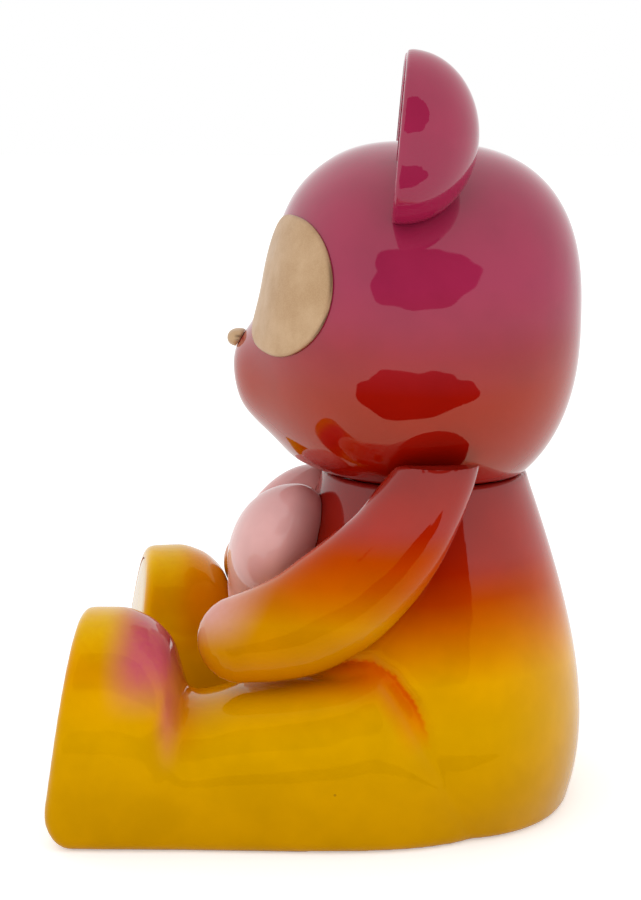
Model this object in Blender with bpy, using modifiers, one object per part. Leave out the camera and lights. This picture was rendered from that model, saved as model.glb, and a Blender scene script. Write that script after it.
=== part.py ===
"""Seated bear figure that hugs a heart: hollow moulded shells, glued, screwed and snap-fitted together.

+Z is up, the bear faces -Y and its left side is +X. The origin is on the ground, under the neck's axis.
Dimensions are written in millimetres and multiplied by MM where the meshes are made.
"""
import math

import bmesh
import bpy
from mathutils import Matrix, Vector

MM = 0.001
GAP = 0.3                      # clearance between two touching pieces
WALL = 3.0                     # wall of a moulded shell

# Head: a rounded form about its own centre, flattened below where it sits on the neck.
HEAD_CENTRE = (0.0, -6.5, 197.0)
HEAD_HALF_WIDTH = 78.0
HEAD_FRONT = 59.2
HEAD_BACK = 67.8
HEAD_UP = 68.5
HEAD_DOWN = 77.0
HEAD_POWER_SIDE = 2.05
HEAD_POWER_FRONT = 2.4
HEAD_POWER_BACK = (2.42, 2.76)  # low and high on the back: a higher power is squarer
SNOUT_HEIGHT = 171.0
SNOUT_OUT = 12.9
SNOUT_HALF_WIDTH = 32.0
SNOUT_HALF_HEIGHT = 21.0
SOCKET_HEIGHT = 218.0          # the face is hollowed a little behind each eye patch
SOCKET_IN = 2.2
SOCKET_HALF = (48.0, 24.0)
SEAT_Z = 133.0                 # the head's flat underside
SEAT_FLAT = 34.0               # radius out to which it is flat
SEAT_SLOPE = 0.15              # its rise beyond that radius
SEAT_CURVE = 0.011             # and how fast the rise steepens, per millimetre
SEAT_GAP = 0.9                 # the head's underside to what it turns over
HEAD_CUTS = (24, 16)           # segments round the head and from top to bottom

# Neck: a mushroom plug through the torso's top and the head's floor.
NECK_HOLE = 16.6
NECK_POST = 16.0
NECK_FLANGE = 24.0
TORSO_TOP = SEAT_Z - 1.2
TOP_WALL = 3.8
NECK_PIVOT_Z = 132.5

# Torso: height and half depth at five places; it is wider than deep towards its base.
TORSO_SIDE = ((0.0, 59.8), (30.0, 65.1), (70.0, 60.5), (102.0, 51.7), (133.6, 41.0))
HIP_SPREAD = 0.16
HIP_SQUARE = 0.35              # how far the outline at the base goes from an oval towards a square
BASE_FILLET = 4.0
BASE_OPENING = 47.2
LEDGE_RADIUS = 37.0
LEDGE_Z = (5.0, 9.0)
COVER_Z = (2.2, 4.7)
COVER_FOOT = 16.0
SCREW_RING = 42.2
SCREW_SHANK = 1.5
SCREW_HEAD = 3.2

# Ears: half domes, flat in front, that lean back a little.
EAR_CENTRE = (62.0, -9.0, 269.0)
EAR_RADIUS = 31.6
EAR_DEPTH = 26.6
EAR_LEAN = math.radians(5.0)
EAR_RECESS = 28.4
EAR_RECESS_DEPTH = 1.6
EAR_PEG = 3.0

# Eye patches and nose.
PATCH_RISE = 1.6
PATCH_CENTRE_ANGLE = math.radians(40.0)   # from straight ahead, towards the side
PATCH_CENTRE_Z = 212.0
PATCH_TILT = math.radians(-5.0)
PATCH_HALF = (33.4, 26.0)      # to the outer end and to the top
PATCH_INNER = 31.5             # to the inner end, which is squarer
NOSE_CENTRE = (0.0, -75.4, 187.0)
NOSE_HALF = (6.6, 4.6, 3.6)
NOSE_STEM = 1.6

# Arms: height and place of the spine's points from shoulder to hand, and the arm's half width there.
SHOULDER = (-6.0, 118.0)       # y and z of the shoulder's axis
SHOULDER_PIVOT_X = 47.0
ARM_SPINE = (
    (5.5, 152.0, 14.6), (3.6, 145.0, 15.0), (-0.5, 136.0, 16.2), (-5.5, 127.0, 17.6), (-12.0, 116.5, 18.9),
    (-21.0, 106.0, 20.4), (-34.0, 94.0, 21.5), (-48.0, 84.8, 20.6), (-60.0, 80.5, 19.0), (-70.5, 78.0, 17.2),
)
ARM_TOP = 148.0                # the arms are cut flat here, just under the head
ARM_RAISES = (0.0, 10.0, 20.0) # degrees of raise at which an arm's top is cut clear of the head
ARM_X = (63.5, 60.0)           # the spine's distance from the middle, at the shoulder and at the hand
ARM_FLATTEN = 0.84             # sideways thickness against the height of a section
SHOULDER_POST = 6.0
SHOULDER_HOLE = 6.6
SHOULDER_FLANGE = 8.5
ARM_FLANGE_X = 56.0            # the plug's flange inside the arm
ARM_CLEARANCE = 0.6

# Legs: for stations from sole to hip, y at the ground, lean, outer x, inner x and top.
LEG_STATIONS = (
    (-147.6, 0.160, 79.5, 23.0, 83.0), (-145.6, 0.158, 83.0, 20.0, 85.8), (-139.0, 0.13, 84.5, 19.0, 86.9),
    (-126.0, 0.08, 84.5, 19.0, 86.9), (-113.0, 0.05, 84.2, 19.5, 83.6), (-104.0, 0.02, 84.0, 20.0, 78.4),
    (-99.5, 0.01, 83.8, 20.3, 73.0), (-97.0, 0.0, 83.7, 20.5, 66.5), (-95.3, 0.0, 83.6, 20.6, 59.5),
    (-93.8, 0.0, 83.5, 20.7, 54.6), (-90.0, 0.0, 83.5, 20.7, 53.2), (-72.0, 0.0, 83.5, 20.5, 57.0),
    (-50.0, 0.0, 83.5, 20.0, 60.0), (-33.0, 0.0, 83.0, 19.0, 63.3), (-20.0, 0.0, 82.0, 18.0, 68.0),
    (-10.0, 0.0, 80.5, 17.0, 62.0), (0.0, 0.0, 78.0, 17.0, 50.5), (12.0, 0.0, 73.0, 19.0, 37.0),
    (22.0, 0.0, 66.0, 22.0, 26.0),
)
TUCK = 9.0                     # how far the sole curls back at the ground
TUCK_HEIGHT = 17.0             # the height up to which it does
TUCK_END_Y = -130.0            # the curl has faded out here
LEG_CORNER = 4.0               # rounding where a leg's side meets the ground
RIGHT_LEG_BACK = 12.7          # the right leg sits this much further back
RIGHT_FOOT_TURN = math.radians(11.0)
FOOT_PIVOT = (-52.0, -118.0)
ANKLE_Y = (-100.0, -60.0)
HIP_Y = (-70.0, 10.0)
SOLE_THICK = 3.0
HIP_PLUG = (45.0, 30.0, 8.0)   # x, z and radius of the dowel in each hip
HIP_PLUG_HALF = 12.0

# Heart: its outline is a classic heart curve; y of its seam, its front and its back.
HEART_SCALE = 2.6
HEART_Z = 99.5
HEART_SEAM_Y = -57.0
HEART_FRONT = 25.0
HEART_BACK = 16.5
HEART_YAW = math.radians(8.0)
HEART_LEAN = 0.2               # how far its top leans back, per millimetre above HEART_LEAN_Z
HEART_LEAN_Z = 88.0
HEART_ROUND = 0.97             # below 1 the heart is fuller towards its edge
HEART_PEG = (100.0, 5.0)       # z and radius
HEART_PEG_Y = (-64.0, -45.0)

COLOURS = {
    "crown": ((0.45, 0.04, 0.12, 1.0), 0.12, 0.0),
    "yellow": ((0.72, 0.30, 0.0, 1.0), 0.12, 0.0),
    "orange": ((0.62, 0.12, 0.01, 1.0), 0.12, 0.0),
    "pink": ((0.66, 0.36, 0.35, 1.0), 0.12, 0.0),
    "gold": ((0.52, 0.35, 0.18, 1.0), 0.35, 1.0),
    "inner": ((0.80, 0.78, 0.72, 1.0), 0.50, 0.0),
    "black": ((0.03, 0.03, 0.03, 1.0), 0.50, 0.0),
    "steel": ((0.60, 0.60, 0.62, 1.0), 0.30, 1.0),
}


# ---------------------------------------------------------------- scene and mesh helpers

def clear_scene():
    for obj in list(bpy.data.objects):
        bpy.data.objects.remove(obj, do_unlink=True)


def new_collection(name):
    collection = bpy.data.collections.new(name)
    bpy.context.scene.collection.children.link(collection)
    return collection


def make_material(name, finish):
    colour, roughness, metallic = COLOURS[finish]
    material = bpy.data.materials.new(name)
    material.use_nodes = True
    shader = material.node_tree.nodes["Principled BSDF"]
    shader.inputs["Base Color"].default_value = colour
    shader.inputs["Roughness"].default_value = roughness
    shader.inputs["Metallic"].default_value = metallic
    return material


def mesh_object(name, bm, collection, finish=None):
    """An object from a bmesh in metres; without a finish it is a cutter."""
    mesh = bpy.data.meshes.new(name)
    bm.to_mesh(mesh)
    bm.free()
    mesh.shade_smooth()
    obj = bpy.data.objects.new(name, mesh)
    collection.objects.link(obj)
    if finish:
        mesh.materials.append(make_material(name, finish))
    else:
        obj.hide_render = True
        obj.display_type = "WIRE"
    return obj


def boolean(obj, operation, *cutters):
    for cutter in cutters:
        modifier = obj.modifiers.new(cutter.name, "BOOLEAN")
        modifier.operation = operation
        modifier.object = cutter
    return obj


def signed_power(value, exponent):
    return math.copysign(abs(value) ** exponent, value)


def smooth_step(start, end, value):
    t = min(1.0, max(0.0, (value - start) / (end - start)))
    return t * t * (3.0 - 2.0 * t)


def faceted(bm):
    """Faces out, and cut into triangles the same way on a form and on its grown or shrunk copies."""
    bmesh.ops.recalc_face_normals(bm, faces=bm.faces)
    bmesh.ops.triangulate(bm, faces=bm.faces, quad_method="FIXED")
    return bm


def skin(rings):
    """A closed bmesh over a run of rings with equal counts, with a fan of faces at each end."""
    bm = bmesh.new()
    loops = [[bm.verts.new([c * MM for c in point]) for point in ring] for ring in rings]
    count = len(loops[0])
    for lower, upper in zip(loops, loops[1:]):
        for i in range(count):
            j = (i + 1) % count
            bm.faces.new((lower[i], lower[j], upper[j], upper[i]))
    for loop in (loops[0], loops[-1]):
        tip = bm.verts.new(sum((v.co for v in loop), Vector()) / count)
        for i in range(count):
            bm.faces.new((loop[i], loop[(i + 1) % count], tip))
    return faceted(bm)


def mapped_sphere(segments, rings, place):
    """A sphere whose unit vectors are moved to place(direction), in millimetres."""
    bm = bmesh.new()
    bmesh.ops.create_uvsphere(bm, u_segments=segments, v_segments=rings, radius=1.0)
    for vert in bm.verts:
        vert.co = Vector(place(vert.co.normalized())) * MM
    return faceted(bm)


def rod(name, radius, start, end, collection, finish=None, segments=24):
    """A straight cylinder between two points."""
    start = Vector(start) * MM
    end = Vector(end) * MM
    bm = bmesh.new()
    bmesh.ops.create_cone(
        bm, cap_ends=True, segments=segments, radius1=radius * MM, radius2=radius * MM,
        depth=(end - start).length)
    obj = mesh_object(name, bm, collection, finish)
    obj.location = (start + end) / 2.0
    obj.rotation_mode = "QUATERNION"
    obj.rotation_quaternion = (end - start).to_track_quat("Z", "Y")
    return obj


def turned(name, profile, collection, finish=None, closed=False, steps=30):
    """A turned piece: the profile holds (radius, z) down its outer side."""
    mesh = bpy.data.meshes.new(name)
    edges = [(i, i + 1) for i in range(len(profile) - 1)]
    if closed:
        edges.append((len(profile) - 1, 0))
    mesh.from_pydata([(r * MM, 0.0, z * MM) for r, z in profile], edges, [])
    obj = bpy.data.objects.new(name, mesh)
    collection.objects.link(obj)
    screw = obj.modifiers.new("turn", "SCREW")
    screw.steps = steps
    screw.render_steps = steps
    screw.use_merge_vertices = True
    screw.merge_threshold = 0.00001
    screw.use_smooth_shade = True
    if finish:
        mesh.materials.append(make_material(name, finish))
    else:
        obj.hide_render = True
        obj.display_type = "WIRE"
    return obj


def side_name(side):
    return "left" if side > 0 else "right"


# ---------------------------------------------------------------- head

def head_seat(radius):
    """The lowest the head's underside comes at a distance from the neck's axis, so that it can turn."""
    beyond = max(0.0, radius - SEAT_FLAT)
    return SEAT_Z + SEAT_SLOPE * beyond + SEAT_CURVE * beyond * beyond


def head_point(direction, grow=0.0):
    """The head's surface in a direction from its centre, moved out by grow."""
    x, y, z = direction
    facing = y * y / max(1e-9, x * x + y * y)
    back = smooth_step(-0.6, 0.6, y)
    up = smooth_step(-0.6, 0.6, z)
    behind = HEAD_POWER_BACK[0] + (HEAD_POWER_BACK[1] - HEAD_POWER_BACK[0]) * up
    lengthwise = HEAD_POWER_FRONT + (behind - HEAD_POWER_FRONT) * back
    power = HEAD_POWER_SIDE + (lengthwise - HEAD_POWER_SIDE) * facing
    half_depth = HEAD_FRONT + (HEAD_BACK - HEAD_FRONT) * back + grow
    half_height = HEAD_DOWN + (HEAD_UP - HEAD_DOWN) * up + grow
    terms = (
        abs(x / (HEAD_HALF_WIDTH + grow)) ** power
        + abs(y / half_depth) ** power
        + abs(z / half_height) ** power)
    reach = terms ** (-1.0 / power)
    point = Vector(HEAD_CENTRE) + Vector(direction) * reach
    if y < 0.0:
        away = (point.x / SNOUT_HALF_WIDTH) ** 2 + ((point.z - SNOUT_HEIGHT) / SNOUT_HALF_HEIGHT) ** 2
        forward = smooth_step(0.0, 0.5, -y)
        point.y -= SNOUT_OUT * forward / (1.0 + away * away)
        away = (point.x / SOCKET_HALF[0]) ** 2 + ((point.z - SOCKET_HEIGHT) / SOCKET_HALF[1]) ** 2
        point.y += SOCKET_IN * forward / (1.0 + away * away)
    radius = math.hypot(point.x, point.y)
    point.z = max(point.z, head_seat(radius) - grow)
    return point


def head_form(name, grow, collection, finish=None):
    bm = mapped_sphere(*HEAD_CUTS, lambda d: head_point(d, grow))
    return mesh_object(name, bm, collection, finish)


def ear_transform(side):
    x, y, z = (c * MM for c in EAR_CENTRE)
    return Matrix.Translation((side * x, y, z)) @ Matrix.Rotation(-EAR_LEAN, 4, "X")


def ear_peg_ends(side):
    return (side * 46.0, -4.0, 228.0), (side * 64.0, -1.0, 252.0)


def make_head(parts, cutters):
    head = head_form("head_shell", 0.0, parts, "crown")
    holes = [head_form("head_cavity", -WALL, cutters)]
    holes.append(rod("head_neck_hole", NECK_HOLE, (0, 0, 120), (0, 0, 145), cutters, segments=24))
    x, y, z = NOSE_CENTRE
    holes.append(rod("head_nose_hole", NOSE_STEM + GAP, (x, y, z), (x, y + 18, z), cutters))
    for side in (1, -1):
        start, end = ear_peg_ends(side)
        holes.append(rod(side_name(side) + "_head_ear_hole", EAR_PEG + GAP, start, end, cutters))
    return boolean(head, "DIFFERENCE", *holes)


def make_ear(side, head_clear, parts, cutters):
    """A solid half dome with a shallow recess in front for its face disc."""
    def place(d):
        depth = EAR_DEPTH if d.y > 0 else 2.5
        return EAR_RADIUS * d.x, depth * signed_power(d.y, 1.0 if d.y > 0 else 0.35), EAR_RADIUS * d.z

    name = side_name(side)
    bm = mapped_sphere(20, 14, place)
    bmesh.ops.transform(bm, matrix=ear_transform(side), verts=bm.verts)
    ear = mesh_object(name + "_ear", bm, parts, "crown")
    turn = ear_transform(side)
    front = turn @ Vector((0, -8 * MM, 0)) / MM
    floor = turn @ Vector((0, (EAR_RECESS_DEPTH - 2.5) * MM, 0)) / MM
    recess = rod(name + "_ear_recess", EAR_RECESS, front, floor, cutters, segments=32)
    start, end = ear_peg_ends(side)
    socket = rod(name + "_ear_socket", EAR_PEG + GAP, start, end, cutters)
    boolean(ear, "DIFFERENCE", head_clear, recess, socket)
    axis = (turn.to_3x3() @ Vector((0, 1, 0)))
    face = rod(
        name + "_ear_face", EAR_RECESS - GAP, floor - axis * (GAP + 1.0), floor - axis * GAP,
        parts, "pink", segments=32)
    boolean(face, "DIFFERENCE", head_clear)
    start, end = Vector(start), Vector(end)
    inward = (end - start).normalized() * 1.0
    rod(name + "_ear_peg", EAR_PEG, start + inward, end - inward, parts, "inner", segments=16)


def patch_outline(angle):
    """The pad's outline in its own plane: an oval that is squarer towards the middle of the face."""
    across, up = math.cos(angle), math.sin(angle)
    if across > 0.0:
        return PATCH_HALF[0] * across, PATCH_HALF[1] * up
    return PATCH_INNER * signed_power(across, 0.78), PATCH_HALF[1] * signed_power(up, 0.78)


def make_eye_patch(side, head_clear, parts, cutters):
    """A thin pad that follows the head: the head's form grown, cut to the pad's outline."""
    name = side_name(side)
    aim = Vector((side * math.sin(PATCH_CENTRE_ANGLE), -math.cos(PATCH_CENTRE_ANGLE), 0.0))
    across = Vector((side * math.cos(PATCH_CENTRE_ANGLE), math.sin(PATCH_CENTRE_ANGLE), 0.0))
    up = Vector((0, 0, 1))
    centre = Vector((0.0, HEAD_CENTRE[1], PATCH_CENTRE_Z))
    rings = []
    for reach in (30.0, 90.0):
        ring = []
        for i in range(24):
            u, v = patch_outline(2 * math.pi * i / 24)
            a = u * math.cos(PATCH_TILT) - v * math.sin(PATCH_TILT)
            b = u * math.sin(PATCH_TILT) + v * math.cos(PATCH_TILT)
            ring.append(centre + aim * reach + across * a + up * b)
        rings.append(ring)
    patch = mesh_object(name + "_eye_patch", skin(rings), parts, "gold")
    grown = head_form(name + "_patch_outside", PATCH_RISE, cutters)
    boolean(patch, "INTERSECT", grown)
    boolean(patch, "DIFFERENCE", head_clear)


def make_nose(head_clear, parts, cutters):
    x, y, z = NOSE_CENTRE
    a, b, c = NOSE_HALF
    bm = mapped_sphere(14, 8, lambda d: (x + a * d.x, y + b * d.y, z + c * d.z))
    nose = mesh_object("nose", bm, parts, "gold")
    boolean(nose, "DIFFERENCE", head_clear)
    stem = rod("nose_stem", NOSE_STEM, (x, y, z), (x, y + 12, z), cutters, segments=12)
    boolean(nose, "UNION", stem)


# ---------------------------------------------------------------- torso, neck and base

def torso_radius(z):
    """The torso's outer radius at a height: the smooth curve through TORSO_SIDE."""
    total = 0.0
    for i, (zi, ri) in enumerate(TORSO_SIDE):
        weight = 1.0
        for j, (zj, _) in enumerate(TORSO_SIDE):
            if j != i:
                weight *= (z - zj) / (zi - zj)
        total += ri * weight
    return total


def torso_outline(z):
    """How much wider than deep the torso is at a height, and how square its outline is there."""
    low = smooth_step(TORSO_SIDE[-1][0], 0.0, z)
    return 1.0 + HIP_SPREAD * low, 2.0 + HIP_SQUARE * low


def torso_front(x, z):
    """The y of the torso's front at a distance from the middle and a height."""
    spread, square = torso_outline(z)
    radius = torso_radius(z)
    return -radius * (1.0 - (x / (radius * spread)) ** square) ** (1.0 / square)


def torso_ring(z, radius, count=30):
    """An outline of the torso at a height."""
    spread, square = torso_outline(z)
    power = 2.0 / square
    half_width = radius * spread
    ring = []
    for i in range(count):
        turn = 2.0 * math.pi * i / count
        x = half_width * signed_power(math.cos(turn), power)
        ring.append((x, radius * signed_power(math.sin(turn), power), z))
    return ring


def torso_form(name, grow, collection, finish=None, levels=10):
    """The torso's whole outside, grown by a clearance, from its rounded foot to its top rim."""
    top = TORSO_SIDE[-1][0]
    rings = []
    for i in range(4):
        angle = math.radians(30.0 * i)
        z = BASE_FILLET * (1.0 - math.cos(angle))
        radius = torso_radius(BASE_FILLET) - BASE_FILLET * (1.0 - math.sin(angle))
        rings.append(torso_ring(z - (grow if i == 0 else 0.0), radius + grow))
    for i in range(1, levels + 1):
        z = BASE_FILLET + (top - BASE_FILLET) * i / levels
        rings.append(torso_ring(z, torso_radius(z) + grow))
    rings.append(torso_ring(TORSO_TOP + min(grow, 0.0), SEAT_FLAT))
    return mesh_object(name, skin(rings), collection, finish)


def make_torso(parts, cutters):
    torso = torso_form("torso_shell", 0.0, parts, "orange")
    ceiling = TORSO_TOP - TOP_WALL
    levels = (LEDGE_Z[1], 30.0, 55.0, 80.0, 104.0, ceiling - 4.0)
    rings = [torso_ring(z, torso_radius(z) - WALL) for z in levels]
    rings.append(torso_ring(ceiling, torso_radius(ceiling) - WALL - 2.0))
    holes = [mesh_object("torso_cavity", skin(rings), cutters)]
    holes.append(rod("torso_neck_hole", NECK_HOLE, (0, 0, 120), (0, 0, 140), cutters))
    holes.append(rod("base_opening", BASE_OPENING, (0, 0, -5), (0, 0, LEDGE_Z[0]), cutters, segments=48))
    holes.append(rod("ledge_opening", LEDGE_RADIUS, (0, 0, 2), (0, 0, 15), cutters, segments=36))
    y, z = SHOULDER
    for side in (1, -1):
        name = side_name(side)
        start, end = (side * 36, y, z), (side * 60, y, z)
        holes.append(rod(name + "_shoulder_hole", SHOULDER_HOLE, start, end, cutters))
        holes.append(hip_rod(name + "_hip_hole", side, HIP_PLUG[2] + GAP, 20.0, cutters))
    z, radius = HEART_PEG
    holes.append(rod("chest_hole", radius + GAP, (0, -70, z), (0, -40, z), cutters))
    for i in range(4):
        x, y = screw_place(i)
        name = "ledge_hole_%d" % (i + 1)
        holes.append(rod(name, SCREW_SHANK + GAP, (x, y, 3), (x, y, 11), cutters, segments=12))
    return boolean(torso, "DIFFERENCE", *holes)


def make_neck(parts):
    floor = TORSO_TOP - TOP_WALL - GAP
    roof = SEAT_Z + WALL + 1.2
    profile = [
        (0.0, roof + 9.0), (14.0, roof + 9.0), (NECK_FLANGE - 1.5, roof + 3.5), (NECK_FLANGE, roof + 2.0),
        (NECK_FLANGE, roof), (NECK_POST, roof), (NECK_POST, floor), (NECK_FLANGE + 4.0, floor),
        (NECK_FLANGE + 4.0, floor - 3.0), (0.0, floor - 3.0)]
    turned("neck_plug", profile, parts, "inner")
    low = TORSO_TOP + GAP
    high = SEAT_Z - GAP
    washer = [(30.0, high), (30.0, low), (NECK_POST + 2 * GAP, low), (NECK_POST + 2 * GAP, high)]
    turned("neck_washer", washer, parts, "black", closed=True)


def screw_place(index):
    angle = math.radians(45.0 + 90.0 * index)
    return SCREW_RING * math.cos(angle), SCREW_RING * math.sin(angle)


def make_base(parts, cutters):
    low, high = COVER_Z
    cover = rod("base_cover", BASE_OPENING - GAP, (0, 0, low), (0, 0, high), parts, "inner", segments=48)
    foot = rod("cover_foot", COVER_FOOT, (0, 0, 0), (0, 0, (low + high) / 2.0), cutters, segments=32)
    boolean(cover, "UNION", foot)
    for i in range(4):
        x, y = screw_place(i)
        hole = rod("cover_hole_%d" % (i + 1), SCREW_SHANK + GAP, (x, y, 1), (x, y, 6), cutters, segments=12)
        boolean(cover, "DIFFERENCE", hole)
        under = low - GAP
        profile = [
            (0.0, LEDGE_Z[1] + 1.0), (SCREW_SHANK, LEDGE_Z[1] + 0.4), (SCREW_SHANK, under),
            (SCREW_HEAD, under), (SCREW_HEAD, under - 1.0), (SCREW_HEAD * 0.7, under - 1.6),
            (0.0, under - 1.6)]
        screw = turned("base_screw_%d" % (i + 1), profile, parts, "steel", steps=12)
        screw.location = (x * MM, y * MM, 0.0)


# ---------------------------------------------------------------- legs

def leg_ring(station, side, grow, count=12):
    """One section of a leg: an arch over upright sides, with small rounded corners on the ground."""
    y0, lean, outer, inner, top = station
    middle = (outer + inner) / 2.0
    half = (outer - inner) / 2.0 + grow
    waist = 0.42 * top
    outline = []
    for i in range(count + 1):
        angle = math.pi * i / count
        x = half * signed_power(math.cos(angle), 2.0 / 2.3)
        outline.append((x, waist + (top - waist + grow) * math.sin(angle) ** (2.0 / 2.3)))
    sides = [LEG_CORNER + share * (waist - LEG_CORNER) for share in (0.5, 0.2)]
    outline += [(-half, z) for z in sides]
    corner = max(1.0, LEG_CORNER + grow)
    for turn in (180, 225, 270):
        angle = math.radians(turn)
        outline.append((corner - half + corner * math.cos(angle), corner - grow + corner * math.sin(angle)))
    outline.append((0.0, -grow))
    for turn in (270, 315, 360):
        angle = math.radians(turn)
        outline.append((half - corner + corner * math.cos(angle), corner - grow + corner * math.sin(angle)))
    outline += [(half, z) for z in reversed(sides)]
    front = 1.0 - smooth_step(LEG_STATIONS[0][0], TUCK_END_Y, y0)
    ring = []
    for x, z in outline:
        tuck = TUCK * front * min(1.0, max(0.0, 1.0 - z / TUCK_HEIGHT)) ** 2.5
        ring.append(leg_place((side * (middle + x), y0 + lean * z + tuck, z), side))
    return ring


def leg_place(point, side):
    """The right leg is set back but for its hip, and its foot is turned in about its own middle."""
    x, y, z = point
    if side > 0:
        return point
    turn = RIGHT_FOOT_TURN * (1.0 - smooth_step(ANKLE_Y[0], ANKLE_Y[1], y))
    back = RIGHT_LEG_BACK * (1.0 - smooth_step(HIP_Y[0], HIP_Y[1], y))
    px, py = FOOT_PIVOT
    dx, dy = x - px, y - py
    x = px + dx * math.cos(turn) - dy * math.sin(turn)
    y = py + dx * math.sin(turn) + dy * math.cos(turn)
    return x, y + back, z


def leg_form(name, side, grow, collection, finish=None, front=0.0):
    """A whole leg grown by a clearance; front moves its sole end forwards."""
    first = LEG_STATIONS[0]
    stations = [(first[0] - front,) + first[1:]] + list(LEG_STATIONS[1:])
    return mesh_object(name, skin([leg_ring(s, side, grow) for s in stations]), collection, finish)


def hip_rod(name, side, radius, half_length, collection, finish=None):
    x, z, _ = HIP_PLUG
    y = torso_front(x, z)
    start, end = (side * x, y - half_length, z), (side * x, y + half_length, z)
    return rod(name, radius, start, end, collection, finish)


def make_leg(side, torso_clear, torso_inner, parts, cutters):
    name = side_name(side)
    leg = leg_form(name + "_leg_shell", side, 0.0, parts, "yellow")
    cavity = leg_form(name + "_leg_cavity", side, -WALL, cutters, front=2.0)
    boolean(cavity, "DIFFERENCE", torso_inner)
    hole = hip_rod(name + "_leg_hip_hole", side, HIP_PLUG[2] + GAP, 20.0, cutters)
    boolean(leg, "DIFFERENCE", torso_clear, cavity, hole)
    hip_rod(name + "_hip_plug", side, HIP_PLUG[2], HIP_PLUG_HALF, parts, "inner")
    first = LEG_STATIONS[0]
    plate = []
    for depth in (0.0, SOLE_THICK):
        plate.append(leg_ring((first[0] + depth,) + first[1:], side, -WALL - GAP))
    mesh_object(name + "_sole_plate", skin(plate), parts, "yellow")


# ---------------------------------------------------------------- arms

def arm_rings(side, grow, count=16):
    """Sections square to the arm's spine, closed by rounded ends."""
    points = [Vector((y, z)) for y, z, _ in ARM_SPINE]
    radii = [r + grow for _, _, r in ARM_SPINE]
    rings = []
    last = len(points) - 1

    def section(centre, along, radius, spread):
        across = Vector((-along.y, along.x))
        ring = []
        for i in range(count):
            angle = 2.0 * math.pi * i / count
            off = across * radius * math.cos(angle)
            x = spread + radius * ARM_FLATTEN * math.sin(angle)
            ring.append((side * x, centre.x + off.x, centre.y + off.y))
        return ring

    def spread_at(index):
        return ARM_X[0] + (ARM_X[1] - ARM_X[0]) * index / last

    for index, centre in enumerate(points):
        along = (points[min(index + 1, last)] - points[max(index - 1, 0)]).normalized()
        radius = radii[index]
        spread = spread_at(index)
        if index == 0:
            for angle in (75, 52, 26):
                a = math.radians(angle)
                place = centre - along * radius * math.sin(a)
                rings.append(section(place, along, radius * math.cos(a), spread))
        rings.append(section(centre, along, radius, spread))
        if index == last:
            for angle in (26, 52, 75):
                a = math.radians(angle)
                place = centre + along * radius * math.sin(a)
                rings.append(section(place, along, radius * math.cos(a), spread))
    return rings


def head_sweeps(name, grow, collection):
    """Rings over the shoulders: all that the head's underside passes through, as a raised arm meets it."""
    under = [(r, min(head_seat(r) - SEAT_GAP, ARM_TOP) - grow) for r in range(86, 35, -5)]
    profile = [(under[0][0], HEAD_CENTRE[2])] + under + [(under[-1][0], HEAD_CENTRE[2])]
    axis = Vector((0.0, *SHOULDER)) * MM
    sweeps = []
    for degrees in ARM_RAISES:
        sweep = turned("%s_%02d" % (name, degrees), profile, collection, closed=True)
        turn = Matrix.Rotation(math.radians(degrees), 4, "X")
        sweep.matrix_world = Matrix.Translation(axis) @ turn @ Matrix.Translation(-axis)
        sweeps.append(sweep)
    return sweeps


def make_arm(side, clear, inner_clear, parts, cutters):
    name = side_name(side)
    arm = mesh_object(name + "_arm_shell", skin(arm_rings(side, 0.0)), parts, "orange")
    cavity = mesh_object(name + "_arm_cavity", skin(arm_rings(side, -WALL)), cutters)
    boolean(cavity, "DIFFERENCE", *inner_clear)
    y, z = SHOULDER
    hole = rod(name + "_arm_hole", SHOULDER_HOLE, (side * 40, y, z), (side * 60, y, z), cutters)
    boolean(arm, "DIFFERENCE", *clear, cavity, hole)
    flange = torso_radius(z) - WALL - 6.5
    profile = [
        (0.0, flange - 4.5), (SHOULDER_FLANGE - 2.5, flange - 4.5), (SHOULDER_FLANGE, flange - 2.5),
        (SHOULDER_FLANGE, flange), (SHOULDER_POST, flange), (SHOULDER_POST, ARM_FLANGE_X),
        (SHOULDER_FLANGE, ARM_FLANGE_X), (SHOULDER_FLANGE, ARM_FLANGE_X + 2.5), (0.0, ARM_FLANGE_X + 2.5)]
    plug = turned(name + "_shoulder_plug", profile[::-1], parts, "inner", steps=24)
    plug.location = (0.0, y * MM, z * MM)
    plug.rotation_euler = (0.0, side * math.pi / 2.0, 0.0)


# ---------------------------------------------------------------- heart

def heart_point(direction, grow=0.0):
    """The heart's surface for a unit direction, its poles in front and behind."""
    x, y, z = direction
    flat = math.hypot(x, z)
    t = math.atan2(x, z)
    outline_x = 16.0 * math.sin(t) ** 3
    outline_z = 13.0 * math.cos(t) - 5.0 * math.cos(2 * t) - 2.0 * math.cos(3 * t) - math.cos(4 * t)
    size = (HEART_SCALE + grow / 16.0) * flat ** HEART_ROUND
    depth = (HEART_FRONT if y < 0 else HEART_BACK) + grow
    px = outline_x * size
    py = depth * signed_power(y, HEART_ROUND)
    pz = outline_z * size
    turned_x = px * math.cos(HEART_YAW) + py * math.sin(HEART_YAW)
    turned_y = -px * math.sin(HEART_YAW) + py * math.cos(HEART_YAW)
    pz += HEART_Z
    return turned_x, HEART_SEAM_Y + turned_y + HEART_LEAN * (pz - HEART_LEAN_Z), pz


def heart_form(name, grow, collection, finish=None):
    turn = Matrix.Rotation(math.pi / 2.0, 3, "X")
    bm = mapped_sphere(28, 12, lambda d: heart_point(turn @ d, grow))
    return mesh_object(name, bm, collection, finish)


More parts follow.
